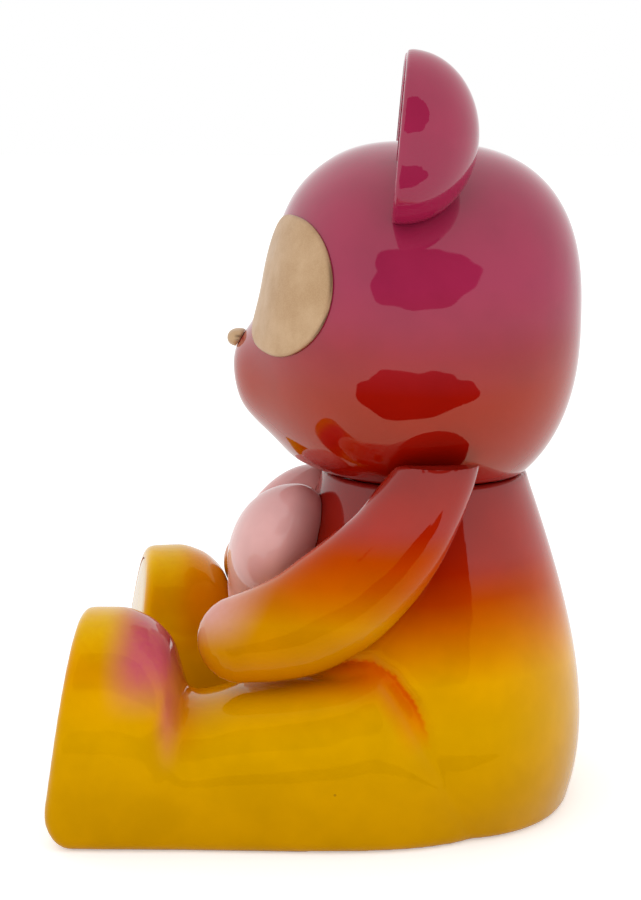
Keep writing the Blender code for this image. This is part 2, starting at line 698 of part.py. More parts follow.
def make_heart(torso_clear, torso_inner, leg_clear, parts, cutters):
    heart = heart_form("heart_shell", 0.0, parts, "pink")
    cavity = heart_form("heart_cavity", -WALL, cutters)
    boolean(cavity, "DIFFERENCE", torso_inner)
    z, radius = HEART_PEG
    start, end = HEART_PEG_Y
    hole = rod("heart_hole", radius + GAP, (0, start - 1.0, z), (0, end, z), cutters)
    boolean(heart, "DIFFERENCE", torso_clear, *leg_clear, cavity, hole)
    rod("heart_peg", radius, (0, start, z), (0, end, z), parts, "inner", segments=20)


def carry(name, place, pieces, parts):
    """An empty on a joint's axis, with the pieces that move about it as its children."""
    pivot = bpy.data.objects.new(name, None)
    parts.objects.link(pivot)
    pivot.location = Vector(place) * MM
    for piece in pieces:
        child = parts.objects[piece]
        child.parent = pivot
        child.matrix_parent_inverse = Matrix.Translation(-pivot.location)


def build():
    clear_scene()
    parts = new_collection("hugging_bear_figure")
    cutters = new_collection("cutters")
    head_clear = head_form("head_clearance", GAP, cutters)
    torso_clear = torso_form("torso_clearance", GAP, cutters)
    torso_inner = torso_form("torso_cavity_clearance", GAP + WALL, cutters)
    torso_arm = torso_form("torso_arm_clearance", ARM_CLEARANCE, cutters)
    torso_arm_inner = torso_form("torso_arm_cavity_clearance", ARM_CLEARANCE + WALL, cutters)
    sweeps = head_sweeps("head_sweep", 0.0, cutters)
    sweeps_inner = head_sweeps("head_sweep_cavity", WALL, cutters)
    make_torso(parts, cutters)
    make_neck(parts)
    make_base(parts, cutters)
    make_head(parts, cutters)
    make_nose(head_clear, parts, cutters)
    leg_clear = []
    for side in (1, -1):
        name = side_name(side)
        leg_clear.append(leg_form(name + "_leg_clearance", side, ARM_CLEARANCE, cutters))
        leg_inner = leg_form(name + "_leg_cavity_clearance", side, ARM_CLEARANCE + WALL, cutters)
        make_ear(side, head_clear, parts, cutters)
        make_eye_patch(side, head_clear, parts, cutters)
        make_leg(side, torso_clear, torso_inner, parts, cutters)
        make_arm(
            side, (torso_arm, leg_clear[-1], *sweeps), (torso_arm_inner, leg_inner, *sweeps_inner),
            parts, cutters)
    make_heart(torso_clear, torso_inner, leg_clear, parts, cutters)
    head_pieces = ["head_shell", "nose"]
    for side in (1, -1):
        name = side_name(side)
        head_pieces += [name + piece for piece in ("_ear", "_ear_face", "_ear_peg", "_eye_patch")]
        shoulder = (side * SHOULDER_PIVOT_X, *SHOULDER)
        carry(name + "_shoulder", shoulder, (name + "_arm_shell", name + "_shoulder_plug"), parts)
    carry("neck", (0.0, 0.0, NECK_PIVOT_Z), head_pieces, parts)


build()
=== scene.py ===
"""The looks of a seated bear figure that hugs a heart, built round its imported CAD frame.

Metres, +Z up; the bear faces -Y and its left side is +X. Dimensions are written in millimetres.
"""
import math

import bmesh
import bpy
import numpy as np
from mathutils import Matrix, Vector
from mathutils.bvhtree import BVHTree


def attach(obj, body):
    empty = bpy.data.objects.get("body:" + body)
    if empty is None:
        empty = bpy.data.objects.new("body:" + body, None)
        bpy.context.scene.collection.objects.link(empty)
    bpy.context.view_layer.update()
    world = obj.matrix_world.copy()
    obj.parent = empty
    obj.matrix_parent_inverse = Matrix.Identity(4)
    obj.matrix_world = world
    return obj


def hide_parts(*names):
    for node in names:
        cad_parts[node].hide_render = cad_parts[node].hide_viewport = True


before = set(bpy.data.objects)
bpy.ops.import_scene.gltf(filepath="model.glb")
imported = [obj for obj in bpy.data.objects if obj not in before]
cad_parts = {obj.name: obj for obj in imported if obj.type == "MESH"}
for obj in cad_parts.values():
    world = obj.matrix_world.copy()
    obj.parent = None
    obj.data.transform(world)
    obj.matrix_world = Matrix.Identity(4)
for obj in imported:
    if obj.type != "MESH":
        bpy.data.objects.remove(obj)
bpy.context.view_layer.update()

MM = 0.001
GAP = 0.3
WALL = 3.0

# Head
HEAD_CENTRE = (0.0, -6.5, 197.0)
HEAD_HALF_WIDTH = 78.0
HEAD_FRONT = 59.2
HEAD_BACK = 67.8
HEAD_UP = 68.5
HEAD_DOWN = 77.0
HEAD_POWER_SIDE = 2.05
HEAD_POWER_FRONT = 2.4
HEAD_POWER_BACK = (2.42, 2.76)
SNOUT_HEIGHT = 171.0
SNOUT_OUT = 12.9
SNOUT_HALF_WIDTH = 32.0
SNOUT_HALF_HEIGHT = 21.0
SOCKET_HEIGHT = 218.0
SOCKET_IN = 2.2
SOCKET_HALF = (48.0, 24.0)
SEAT_Z = 133.0
SEAT_FLAT = 34.0
SEAT_SLOPE = 0.15
SEAT_CURVE = 0.011
SEAT_GAP = 0.9
SEAT_ROUND = 1.2
RIM_LIFT = 0.5

# Neck, torso and base
NECK_HOLE = 16.6
TORSO_TOP = SEAT_Z - 0.7
TOP_WALL = 3.8
TORSO_SIDE = ((0.0, 59.8), (30.0, 65.1), (70.0, 60.5), (102.0, 51.7), (133.6, 41.0))
HIP_SPREAD = 0.16
HIP_SQUARE = 0.35
BASE_FILLET = 4.0
BASE_OPENING = 47.2
LEDGE_RADIUS = 37.0
LEDGE_Z = (5.0, 9.0)

# Ears, eye patches and nose
EAR_CENTRE = (62.0, -9.0, 269.0)
EAR_RADIUS = 31.6
EAR_DEPTH = 26.6
EAR_FRONT = 2.5
EAR_EDGE = 1.5
EAR_LEAN = math.radians(5.0)
EAR_RECESS = 28.4
EAR_RECESS_DEPTH = 1.6
PATCH_RISE = 1.6
PATCH_EDGE = 3.2
PATCH_CENTRE_ANGLE = math.radians(40.0)
PATCH_CENTRE_Z = 212.0
PATCH_TILT = math.radians(-5.0)
PATCH_HALF = (33.4, 26.0)
PATCH_INNER = 31.5
NOSE_CENTRE = (0.0, -75.4, 187.0)
NOSE_HALF = (6.6, 4.6, 3.6)

# Arms
SHOULDER = (-6.0, 118.0)
ARM_SPINE = (
    (5.5, 152.0, 14.6), (3.6, 145.0, 15.0), (-0.5, 136.0, 16.2), (-5.5, 127.0, 17.6), (-12.0, 116.5, 18.9),
    (-21.0, 106.0, 20.4), (-34.0, 94.0, 21.5), (-48.0, 84.8, 20.6), (-60.0, 80.5, 19.0), (-70.5, 78.0, 17.2),
)
ARM_TOP = 148.0
ARM_RAISES = (0.0, 10.0, 20.0)
ARM_X = (63.5, 60.0)
ARM_FLATTEN = 0.84
SHOULDER_HOLE = 6.6
ARM_CLEARANCE = 0.6

# Legs: y at the ground, lean, outer x, inner x and top, from sole to hip
LEG_STATIONS = (
    (-147.6, 0.160, 84.0, 19.3, 86.3), (-139.0, 0.13, 84.5, 19.0, 86.9),
    (-126.0, 0.08, 84.5, 19.0, 86.9), (-113.0, 0.05, 84.2, 19.5, 83.6), (-104.0, 0.02, 84.0, 20.0, 78.4),
    (-99.5, 0.01, 83.8, 20.3, 73.0), (-97.0, 0.0, 83.7, 20.5, 66.5), (-95.3, 0.0, 83.6, 20.6, 59.5),
    (-93.8, 0.0, 83.5, 20.7, 54.6), (-90.0, 0.0, 83.5, 20.7, 53.2), (-72.0, 0.0, 83.5, 20.5, 57.0),
    (-50.0, 0.0, 83.5, 20.0, 60.0), (-33.0, 0.0, 83.0, 19.0, 63.3), (-20.0, 0.0, 82.0, 18.0, 68.0),
    (-10.0, 0.0, 80.5, 17.0, 62.0), (0.0, 0.0, 78.0, 17.0, 50.5), (12.0, 0.0, 73.0, 19.0, 37.0),
    (22.0, 0.0, 66.0, 22.0, 26.0),
)
TUCK = 9.0
TUCK_HEIGHT = 17.0
TUCK_END_Y = -130.0
LEG_CORNER = 4.0
SOLE_ROUND = 4.0
SOLE_RIM = 4.6
SOLE_DISH = 0.35
# depth and inset along the rounded edge of a sole plate
SOLE_EDGE = ((3.0, 0.0), (0.9, 0.0), (0.45, 0.12), (0.15, 0.42), (0.0, 0.9))
# the fold where a thigh meets the torso: x, y, z and strength
HIP_FOLD = (
    (72.0, -44.0, 64.0, 0.0), (72.0, -30.5, 69.0, 0.9), (72.0, -21.0, 70.3, 1.0), (72.0, -11.5, 65.4, 1.0),
    (73.0, -3.9, 56.3, 0.9), (74.0, 0.5, 47.0, 0.5), (75.0, 2.5, 39.0, 0.0))
# the fold behind the toes, in the same terms
ANKLE_FOLD = (
    (78.0, -90.5, 51.0, 0.0), (83.0, -94.5, 50.0, 0.8), (84.0, -98.7, 44.0, 0.7), (84.3, -100.3, 36.0, 0.3),
    (84.3, -101.0, 26.0, 0.0))
RIGHT_LEG_BACK = 12.7
RIGHT_FOOT_TURN = math.radians(11.0)
FOOT_PIVOT = (-52.0, -118.0)
ANKLE_Y = (-100.0, -60.0)
HIP_Y = (-70.0, 10.0)

# Heart
HEART_SCALE = 2.6
HEART_Z = 99.5
HEART_SEAM_Y = -57.0
HEART_FRONT = 25.0
HEART_BACK = 16.5
HEART_YAW = math.radians(8.0)
HEART_LEAN = 0.2
HEART_LEAN_Z = 88.0
HEART_ROUND = 0.97

# Camera, in metres and radians: yaw and downward pitch
CAMERA_PLACE = (0.778, -0.0145, 0.293)
CAMERA_TURN = (0.0357726, 0.1932330)
CAMERA_LENS = 77.68


# ---------------------------------------------------------------- mesh helpers

def new_object(name, mesh):
    obj = bpy.data.objects.new(name, mesh)
    bpy.context.scene.collection.objects.link(obj)
    return obj


def from_bmesh(name, bm):
    bmesh.ops.recalc_face_normals(bm, faces=bm.faces)
    mesh = bpy.data.meshes.new(name)
    bm.to_mesh(mesh)
    bm.free()
    return new_object(name, mesh)


def signed_power(value, exponent):
    return math.copysign(abs(value) ** exponent, value)


def smooth_step(start, end, value):
    t = min(1.0, max(0.0, (value - start) / (end - start)))
    return t * t * (3.0 - 2.0 * t)


def ramp(start, end, values):
    """smooth_step for an array."""
    t = np.clip((values - start) / (end - start), 0.0, 1.0)
    return t * t * (3.0 - 2.0 * t)


def eased(xs, ys, at):
    """A smooth curve through (xs, ys) that doesn't overshoot, read at the points at."""
    xs, ys, at = np.array(xs, float), np.array(ys, float), np.array(at, float)
    h = np.diff(xs)
    d = np.diff(ys) / h
    m = np.zeros(len(xs))
    for i in range(1, len(xs) - 1):
        if d[i - 1] * d[i] > 0.0:
            a, b = 2 * h[i] + h[i - 1], h[i] + 2 * h[i - 1]
            m[i] = (a + b) / (a / d[i - 1] + b / d[i])
    m[0], m[-1] = d[0], d[-1]
    k = np.clip(np.searchsorted(xs, at, side="right") - 1, 0, len(xs) - 2)
    t = (at - xs[k]) / h[k]
    return (
        (1 + 2 * t) * (1 - t) ** 2 * ys[k] + t * (1 - t) ** 2 * h[k] * m[k]
        + t * t * (3 - 2 * t) * ys[k + 1] + t * t * (t - 1) * h[k] * m[k + 1])


def quad_sphere(name, cuts, place):
    """A sphere of even quads whose unit vectors are moved to place(direction), in millimetres."""
    bm = bmesh.new()
    bmesh.ops.create_cube(bm, size=2.0)
    bmesh.ops.subdivide_edges(bm, edges=bm.edges, cuts=cuts, use_grid_fill=True)
    for vert in bm.verts:
        even = Vector([math.tan(c * math.pi / 4.0) for c in vert.co])
        vert.co = Vector(place(even.normalized())) * MM
    return from_bmesh(name, bm)


def skin(name, rings):
    """A closed form over a run of rings with equal counts."""
    bm = bmesh.new()
    loops = [[bm.verts.new([c * MM for c in point]) for point in ring] for ring in rings]
    count = len(loops[0])
    for lower, upper in zip(loops, loops[1:]):
        for i in range(count):
            j = (i + 1) % count
            bm.faces.new((lower[i], lower[j], upper[j], upper[i]))
    for loop in (loops[0], loops[-1]):
        tip = bm.verts.new(sum((v.co for v in loop), Vector()) / count)
        for i in range(count):
            bm.faces.new((loop[i], loop[(i + 1) % count], tip))
    return from_bmesh(name, bm)


def rod(name, radius, start, end, segments=64):
    start = Vector(start) * MM
    end = Vector(end) * MM
    bm = bmesh.new()
    turn = (end - start).to_track_quat("Z", "Y").to_matrix().to_4x4()
    bmesh.ops.create_cone(
        bm, cap_ends=True, segments=segments, radius1=radius * MM, radius2=radius * MM,
        depth=(end - start).length, matrix=Matrix.Translation((start + end) / 2.0) @ turn)
    return from_bmesh(name, bm)


def turned(name, profile, steps=96):
    """A closed profile of (radius, z) turned about the Z axis."""
    bm = bmesh.new()
    verts = [bm.verts.new((r * MM, 0.0, z * MM)) for r, z in profile]
    edges = [bm.edges.new((verts[i], verts[(i + 1) % len(verts)])) for i in range(len(verts))]
    bmesh.ops.spin(
        bm, geom=verts + edges, cent=(0, 0, 0), axis=(0, 0, 1), angle=2 * math.pi, steps=steps,
        use_merge=True)
    bmesh.ops.remove_doubles(bm, verts=bm.verts, dist=0.01 * MM)
    return from_bmesh(name, bm)


def settle(obj):
    """Keeps the result of the object's modifiers as its mesh."""
    graph = bpy.context.evaluated_depsgraph_get()
    mesh = bpy.data.meshes.new_from_object(obj.evaluated_get(graph))
    obj.modifiers.clear()
    obj.data = mesh
    return obj


def combine(obj, operation, *others):
    """Cuts, joins or keeps the overlap with other closed forms."""
    for other in others:
        modifier = obj.modifiers.new(other.name, "BOOLEAN")
        modifier.operation = operation
        modifier.solver = "EXACT"
        modifier.object = other
    return settle(obj)


def joined(name, objects):
    bm = bmesh.new()
    for obj in objects:
        bm.from_mesh(obj.data)
    return from_bmesh(name, bm)


def points_of(obj):
    flat = np.empty(len(obj.data.vertices) * 3)
    obj.data.vertices.foreach_get("co", flat)
    return flat.reshape(-1, 3)


def put_points(obj, points):
    obj.data.vertices.foreach_set("co", points.ravel())
    obj.data.update()


def relax(obj, rounds):
    """Evens out a mesh without shrinking it."""
    edges = np.empty(len(obj.data.edges) * 2, int)
    obj.data.edges.foreach_get("vertices", edges)
    a, b = edges.reshape(-1, 2).T
    points = points_of(obj)
    count = np.bincount(np.concatenate((a, b)), minlength=len(points))[:, None]
    for _ in range(rounds):
        for share in (0.52, -0.54):
            total = np.zeros_like(points)
            for axis in range(3):
                total[:, axis] = (
                    np.bincount(a, points[b, axis], len(points))
                    + np.bincount(b, points[a, axis], len(points)))
            points = points + share * (total / count - points)
    put_points(obj, points)
    return obj


def remeshed(obj, size, rounds):
    """One even closed skin over the form, its edges a little rounded."""
    modifier = obj.modifiers.new("even", "REMESH")
    modifier.mode = "VOXEL"
    modifier.voxel_size = size * MM
    settle(obj)
    return relax(obj, rounds)


def attribute(obj, name, values):
    layer = obj.data.attributes.new(name, "FLOAT", "POINT")
    layer.data.foreach_set("value", np.clip(values, 0.0, 1.0).astype(np.float32))


def finished(obj, body, material, *nodes, slot, angle=35.0):
    """Shades a piece, gives it its material and lets it ride on its body in place of its CAD nodes."""
    obj.data.materials.clear()
    obj.data.materials.append(material)
    obj.data.shade_smooth()
    obj.data.set_sharp_from_angle(angle=math.radians(angle))
    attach(obj, body)
    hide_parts(*nodes)
    return obj


def discard(*objects):
    for obj in objects:
        bpy.data.objects.remove(obj, do_unlink=True)


def tree_of(obj):
    return BVHTree.FromPolygons(
        [v.co for v in obj.data.vertices], [tuple(p.vertices) for p in obj.data.polygons])


def side_name(side):
    return "left" if side > 0 else "right"


# ---------------------------------------------------------------- forms

def head_seat(radius):
    beyond = max(0.0, radius - SEAT_FLAT)
    return SEAT_Z + SEAT_SLOPE * beyond + SEAT_CURVE * beyond * beyond


def head_point(direction, grow=0.0):
    x, y, z = direction
    facing = y * y / max(1e-9, x * x + y * y)
    back = smooth_step(-0.6, 0.6, y)
    up = smooth_step(-0.6, 0.6, z)
    behind = HEAD_POWER_BACK[0] + (HEAD_POWER_BACK[1] - HEAD_POWER_BACK[0]) * up
    lengthwise = HEAD_POWER_FRONT + (behind - HEAD_POWER_FRONT) * back
    power = HEAD_POWER_SIDE + (lengthwise - HEAD_POWER_SIDE) * facing
    half_depth = HEAD_FRONT + (HEAD_BACK - HEAD_FRONT) * back + grow
    half_height = HEAD_DOWN + (HEAD_UP - HEAD_DOWN) * up + grow
    terms = (
        abs(x / (HEAD_HALF_WIDTH + grow)) ** power + abs(y / half_depth) ** power
        + abs(z / half_height) ** power)
    point = Vector(HEAD_CENTRE) + Vector(direction) * terms ** (-1.0 / power)
    if y < 0.0:
        away = (point.x / SNOUT_HALF_WIDTH) ** 2 + ((point.z - SNOUT_HEIGHT) / SNOUT_HALF_HEIGHT) ** 2
        forward = smooth_step(0.0, 0.5, -y)
        point.y -= SNOUT_OUT * forward / (1.0 + away * away)
        away = (point.x / SOCKET_HALF[0]) ** 2 + ((point.z - SOCKET_HEIGHT) / SOCKET_HALF[1]) ** 2
        point.y += SOCKET_IN * forward / (1.0 + away * away)
    seat = head_seat(math.hypot(point.x, point.y)) - grow
    apart = point.z - seat
    if apart < SEAT_ROUND:
        near = max(0.0, apart + SEAT_ROUND)
        point.z = seat + near * near / (4.0 * SEAT_ROUND)
    return point


def head_form(name, grow, cuts=54):
    return quad_sphere(name, cuts, lambda d: head_point(d, grow))


def ear_transform(side):
    x, y, z = (c * MM for c in EAR_CENTRE)
    return Matrix.Translation((side * x, y, z)) @ Matrix.Rotation(-EAR_LEAN, 4, "X")


def ear_form(name, side, cuts=30):
    """A half dome, flat in front, with a rounded rim; its profile is spread over a sphere."""
    profile = [(0.0, -EAR_FRONT), (EAR_RADIUS - EAR_EDGE, -EAR_FRONT)]
    for i in range(1, 6):
        a = math.radians(18.0 * i)
        radius = EAR_RADIUS - EAR_EDGE + EAR_EDGE * math.sin(a)
        profile.append((radius, -EAR_FRONT + EAR_EDGE * (1 - math.cos(a))))
    for i in range(0, 25):
        a = math.radians(90.0 * i / 24)
        profile.append((EAR_RADIUS * math.cos(a), EAR_DEPTH * math.sin(a)))
    radii = np.array([p[0] for p in profile])
    depths = np.array([p[1] for p in profile])
    along = np.concatenate(([0.0], np.cumsum(np.hypot(np.diff(radii), np.diff(depths)))))

    def place(d):
        share = math.acos(max(-1.0, min(1.0, -d.y))) / math.pi * along[-1]
        radius = np.interp(share, along, radii)
        flat = max(1e-9, math.hypot(d.x, d.z))
        return radius * d.x / flat, np.interp(share, along, depths), radius * d.z / flat

    ear = quad_sphere(name, cuts, place)
    ear.data.transform(ear_transform(side))
    return ear


def torso_radius(z):
    total = 0.0
    for i, (zi, ri) in enumerate(TORSO_SIDE):
        weight = 1.0
        for j, (zj, _) in enumerate(TORSO_SIDE):
            if j != i:
                weight *= (z - zj) / (zi - zj)
        total += ri * weight
    return total


def torso_ring(z, radius, count=120):
    low = smooth_step(TORSO_SIDE[-1][0], 0.0, z)
    power = 2.0 / (2.0 + HIP_SQUARE * low)
    half_width = radius * (1.0 + HIP_SPREAD * low)
    ring = []
    for i in range(count):
        turn = 2.0 * math.pi * i / count
        x = half_width * signed_power(math.cos(turn), power)
        ring.append((x, radius * signed_power(math.sin(turn), power), z))
    return ring


def torso_form(name, grow, levels=40):
    top = TORSO_SIDE[-1][0]
    rings = []
    for i in range(7):
        angle = math.radians(15.0 * i)
        z = BASE_FILLET * (1.0 - math.cos(angle))
        radius = torso_radius(BASE_FILLET) - BASE_FILLET * (1.0 - math.sin(angle))
        rings.append(torso_ring(z - (grow if i == 0 else 0.0), radius + grow))
    for i in range(1, levels + 1):
        z = BASE_FILLET + (top - BASE_FILLET) * i / levels
        rings.append(torso_ring(z, torso_radius(z) + grow))
    rings.append(torso_ring(TORSO_TOP + min(grow, 0.0), SEAT_FLAT))
    return skin(name, rings)


def leg_place(point, side):
    x, y, z = point
    if side > 0:
        return point
    turn = RIGHT_FOOT_TURN * (1.0 - smooth_step(ANKLE_Y[0], ANKLE_Y[1], y))
    back = RIGHT_LEG_BACK * (1.0 - smooth_step(HIP_Y[0], HIP_Y[1], y))
    px, py = FOOT_PIVOT
    dx, dy = x - px, y - py
    x = px + dx * math.cos(turn) - dy * math.sin(turn)
    y = py + dx * math.sin(turn) + dy * math.cos(turn)
    return x, y + back, z


def leg_ring(station, side, grow, count=44, share=1.0):
    """An arch over upright sides, with small rounded corners on the ground; share shrinks it
    towards its middle."""
    y0, lean, outer, inner, top = station
    middle = (outer + inner) / 2.0
    half = (outer - inner) / 2.0 + grow
    waist = 0.42 * top
    outline = []
    for i in range(count + 1):
        angle = math.pi * i / count
        x = half * signed_power(math.cos(angle), 2.0 / 2.3)
        outline.append((x, waist + (top - waist + grow) * abs(math.sin(angle)) ** (2.0 / 2.3)))
    sides = [LEG_CORNER + (waist - LEG_CORNER) * i / 10.0 for i in range(9, 0, -1)]
    outline += [(-half, z) for z in sides]
    corner = max(1.0, LEG_CORNER + grow)
    floor = -grow
    for turn in (180, 202, 225, 248, 270):
        angle = math.radians(turn)
        outline.append((corner - half + corner * math.cos(angle), floor + corner + corner * math.sin(angle)))
    for i in range(1, 8):
        outline.append(((corner - half) * (1.0 - i / 4.0), floor))
    for turn in (270, 292, 315, 338, 360):
        angle = math.radians(turn)
        outline.append((half - corner + corner * math.cos(angle), floor + corner + corner * math.sin(angle)))
    outline += [(half, z) for z in reversed(sides)]
    level = sum(z for _, z in outline) / len(outline)
    if share < 1.0:
        outline = [(x * share, level + (z - level) * share) for x, z in outline]
    front = 1.0 - smooth_step(LEG_STATIONS[0][0], TUCK_END_Y, y0)
    ring = []
    for x, z in outline:
        tuck = TUCK * front * min(1.0, max(0.0, 1.0 - z / TUCK_HEIGHT)) ** 2.5
        ring.append(leg_place((side * (middle + x), y0 + lean * z + tuck, z), side))
    return ring


def leg_station(y):
    columns = list(zip(*LEG_STATIONS))
    return (y,) + tuple(float(eased(columns[0], column, [y])[0]) for column in columns[1:])


def leg_form(name, side, grow=0.0, front=0.0, step=1.6):
    first, last = LEG_STATIONS[0][0], LEG_STATIONS[-1][0]
    rings = []
    if front:
        start = leg_station(first)
        rings.append(leg_ring((first - front,) + start[1:], side, grow))
    else:
        for i in range(6):
            a = math.radians(15.0 * i)
            inset = SOLE_ROUND * (1.0 - math.sin(a))
            rings.append(leg_ring(leg_station(first + SOLE_ROUND * (1.0 - math.cos(a))), side, grow - inset))
    for y in np.arange(first + SOLE_ROUND, last, step):
        rings.append(leg_ring(leg_station(y), side, grow))
    rings.append(leg_ring(leg_station(last), side, grow))
    return skin(name, rings)


def arm_form(name, side, grow=0.0, count=72, steps=60):
    """Sections square to the arm's spine, closed by rounded ends."""
    ys, zs, widths = (np.array(c) for c in zip(*ARM_SPINE))
    along = np.concatenate(([0.0], np.cumsum(np.hypot(np.diff(ys), np.diff(zs)))))
    at = np.linspace(0.0, along[-1], steps)
    spine = np.stack((eased(along, ys, at), eased(along, zs, at)), axis=1)
    radii = eased(along, widths, at) + grow
    heading = np.gradient(spine, axis=0)
    heading /= np.linalg.norm(heading, axis=1)[:, None]
    spread = np.linspace(ARM_X[0], ARM_X[1], steps)

    def section(index, shift, share):
        centre = spine[index] + heading[index] * shift
        across = np.array((-heading[index][1], heading[index][0]))
        ring = []
        for i in range(count):
            angle = 2.0 * math.pi * i / count
            off = across * radii[index] * share * math.cos(angle)
            x = spread[index] + radii[index] * share * ARM_FLATTEN * math.sin(angle)
            ring.append((side * x, centre[0] + off[0], centre[1] + off[1]))
        return ring

    caps = [math.radians(a) for a in (84, 75, 65, 54, 42, 29, 15)]
    rings = [section(0, -radii[0] * math.sin(a), math.cos(a)) for a in caps]
    rings += [section(i, 0.0, 1.0) for i in range(steps)]
    rings += [section(steps - 1, radii[-1] * math.sin(a), math.cos(a)) for a in reversed(caps)]
    return skin(name, rings)


def head_sweeps(name, grow):
    """What the head's underside passes through over the shoulders, as a raised arm meets it."""
    under = [(r, min(head_seat(r) - SEAT_GAP, ARM_TOP) - grow) for r in np.arange(92.0, 33.0, -2.0)]
    profile = [(under[0][0], HEAD_CENTRE[2])] + under + [(under[-1][0], HEAD_CENTRE[2])]
    axis = Vector((0.0, *SHOULDER)) * MM
    sweeps = []
    for degrees in ARM_RAISES:
        sweep = turned(name, profile)
        turn = Matrix.Rotation(math.radians(degrees), 4, "X")
        sweep.data.transform(Matrix.Translation(axis) @ turn @ Matrix.Translation(-axis))
        sweeps.append(sweep)
    return sweeps


def heart_point(direction, grow=0.0):
    x, y, z = direction
    flat = math.hypot(x, z)
    t = math.atan2(x, z)
    outline_x = 16.0 * math.sin(t) ** 3
    outline_z = 13.0 * math.cos(t) - 5.0 * math.cos(2 * t) - 2.0 * math.cos(3 * t) - math.cos(4 * t)
    size = (HEART_SCALE + grow / 16.0) * flat ** HEART_ROUND
    depth = (HEART_FRONT if y < 0 else HEART_BACK) + grow
    px = outline_x * size
    py = depth * signed_power(y, HEART_ROUND)
    pz = outline_z * size + HEART_Z
    turned_x = px * math.cos(HEART_YAW) + py * math.sin(HEART_YAW)
    turned_y = -px * math.sin(HEART_YAW) + py * math.cos(HEART_YAW)
    return turned_x, HEART_SEAM_Y + turned_y + HEART_LEAN * (pz - HEART_LEAN_Z), pz


# ---------------------------------------------------------------- materials

class Nodes:
    """Small helpers for one material's node tree."""

    def __init__(self, name):
        self.material = bpy.data.materials.new(name)
        self.material.use_nodes = True
        self.tree = self.material.node_tree
        self.shader = self.tree.nodes["Principled BSDF"]
        self.place = self.add("ShaderNodeTexCoord").outputs["Object"]

    def add(self, kind, **settings):
        node = self.tree.nodes.new(kind)
        for key, value in settings.items():
            setattr(node, key, value)
        return node

    def link(self, source, socket):
        if hasattr(source, "links"):
            self.tree.links.new(source, socket)
        else:
            socket.default_value = source

    def math(self, operation, a, b=0.0, clamp=False):
        node = self.add("ShaderNodeMath", operation=operation, use_clamp=clamp)
        self.link(a, node.inputs[0])
        self.link(b, node.inputs[1])
        return node.outputs[0]

    def noise(self, scale, detail=2.0, roughness=0.5, stretch=None):
        node = self.add("ShaderNodeTexNoise")
        where = self.place
        if stretch:
            mapping = self.add("ShaderNodeMapping")
            mapping.inputs["Scale"].default_value = stretch
            self.link(where, mapping.inputs["Vector"])
            where = mapping.outputs[0]
        self.link(where, node.inputs["Vector"])
        node.inputs["Scale"].default_value = scale
        node.inputs["Detail"].default_value = detail
        node.inputs["Roughness"].default_value = roughness
        return node.outputs["Fac"]

    def spread(self, value, low, high, to_low=0.0, to_high=1.0, smooth=True):
        node = self.add("ShaderNodeMapRange")
        node.interpolation_type = "SMOOTHSTEP" if smooth else "LINEAR"
        self.link(value, node.inputs["Value"])
        for key, number in (("From Min", low), ("From Max", high), ("To Min", to_low), ("To Max", to_high)):
            node.inputs[key].default_value = number
        return node.outputs["Result"]

    def mix(self, share, a, b, blend="MIX"):
        node = self.add("ShaderNodeMix", data_type="RGBA", blend_type=blend)
        self.link(share, node.inputs["Factor"])
        for socket, value in ((node.inputs[6], a), (node.inputs[7], b)):
            self.link(value if hasattr(value, "links") else (*value, 1.0), socket)
        return node.outputs[2]

    def ramp(self, value, stops):
        node = self.add("ShaderNodeValToRGB")
        low, high = stops[0][0], stops[-1][0]
        elements = node.color_ramp.elements
        for i, (at, colour) in enumerate(stops):
            place = (at - low) / (high - low)
            element = elements[i] if i < 2 else elements.new(place)
            element.position = place
            element.color = (*colour, 1.0)
        self.link(self.spread(value, low * MM, high * MM, smooth=False), node.inputs["Fac"])
        return node.outputs["Color"]

    def marked(self, name):
        return self.add("ShaderNodeAttribute", attribute_name=name).outputs["Fac"]


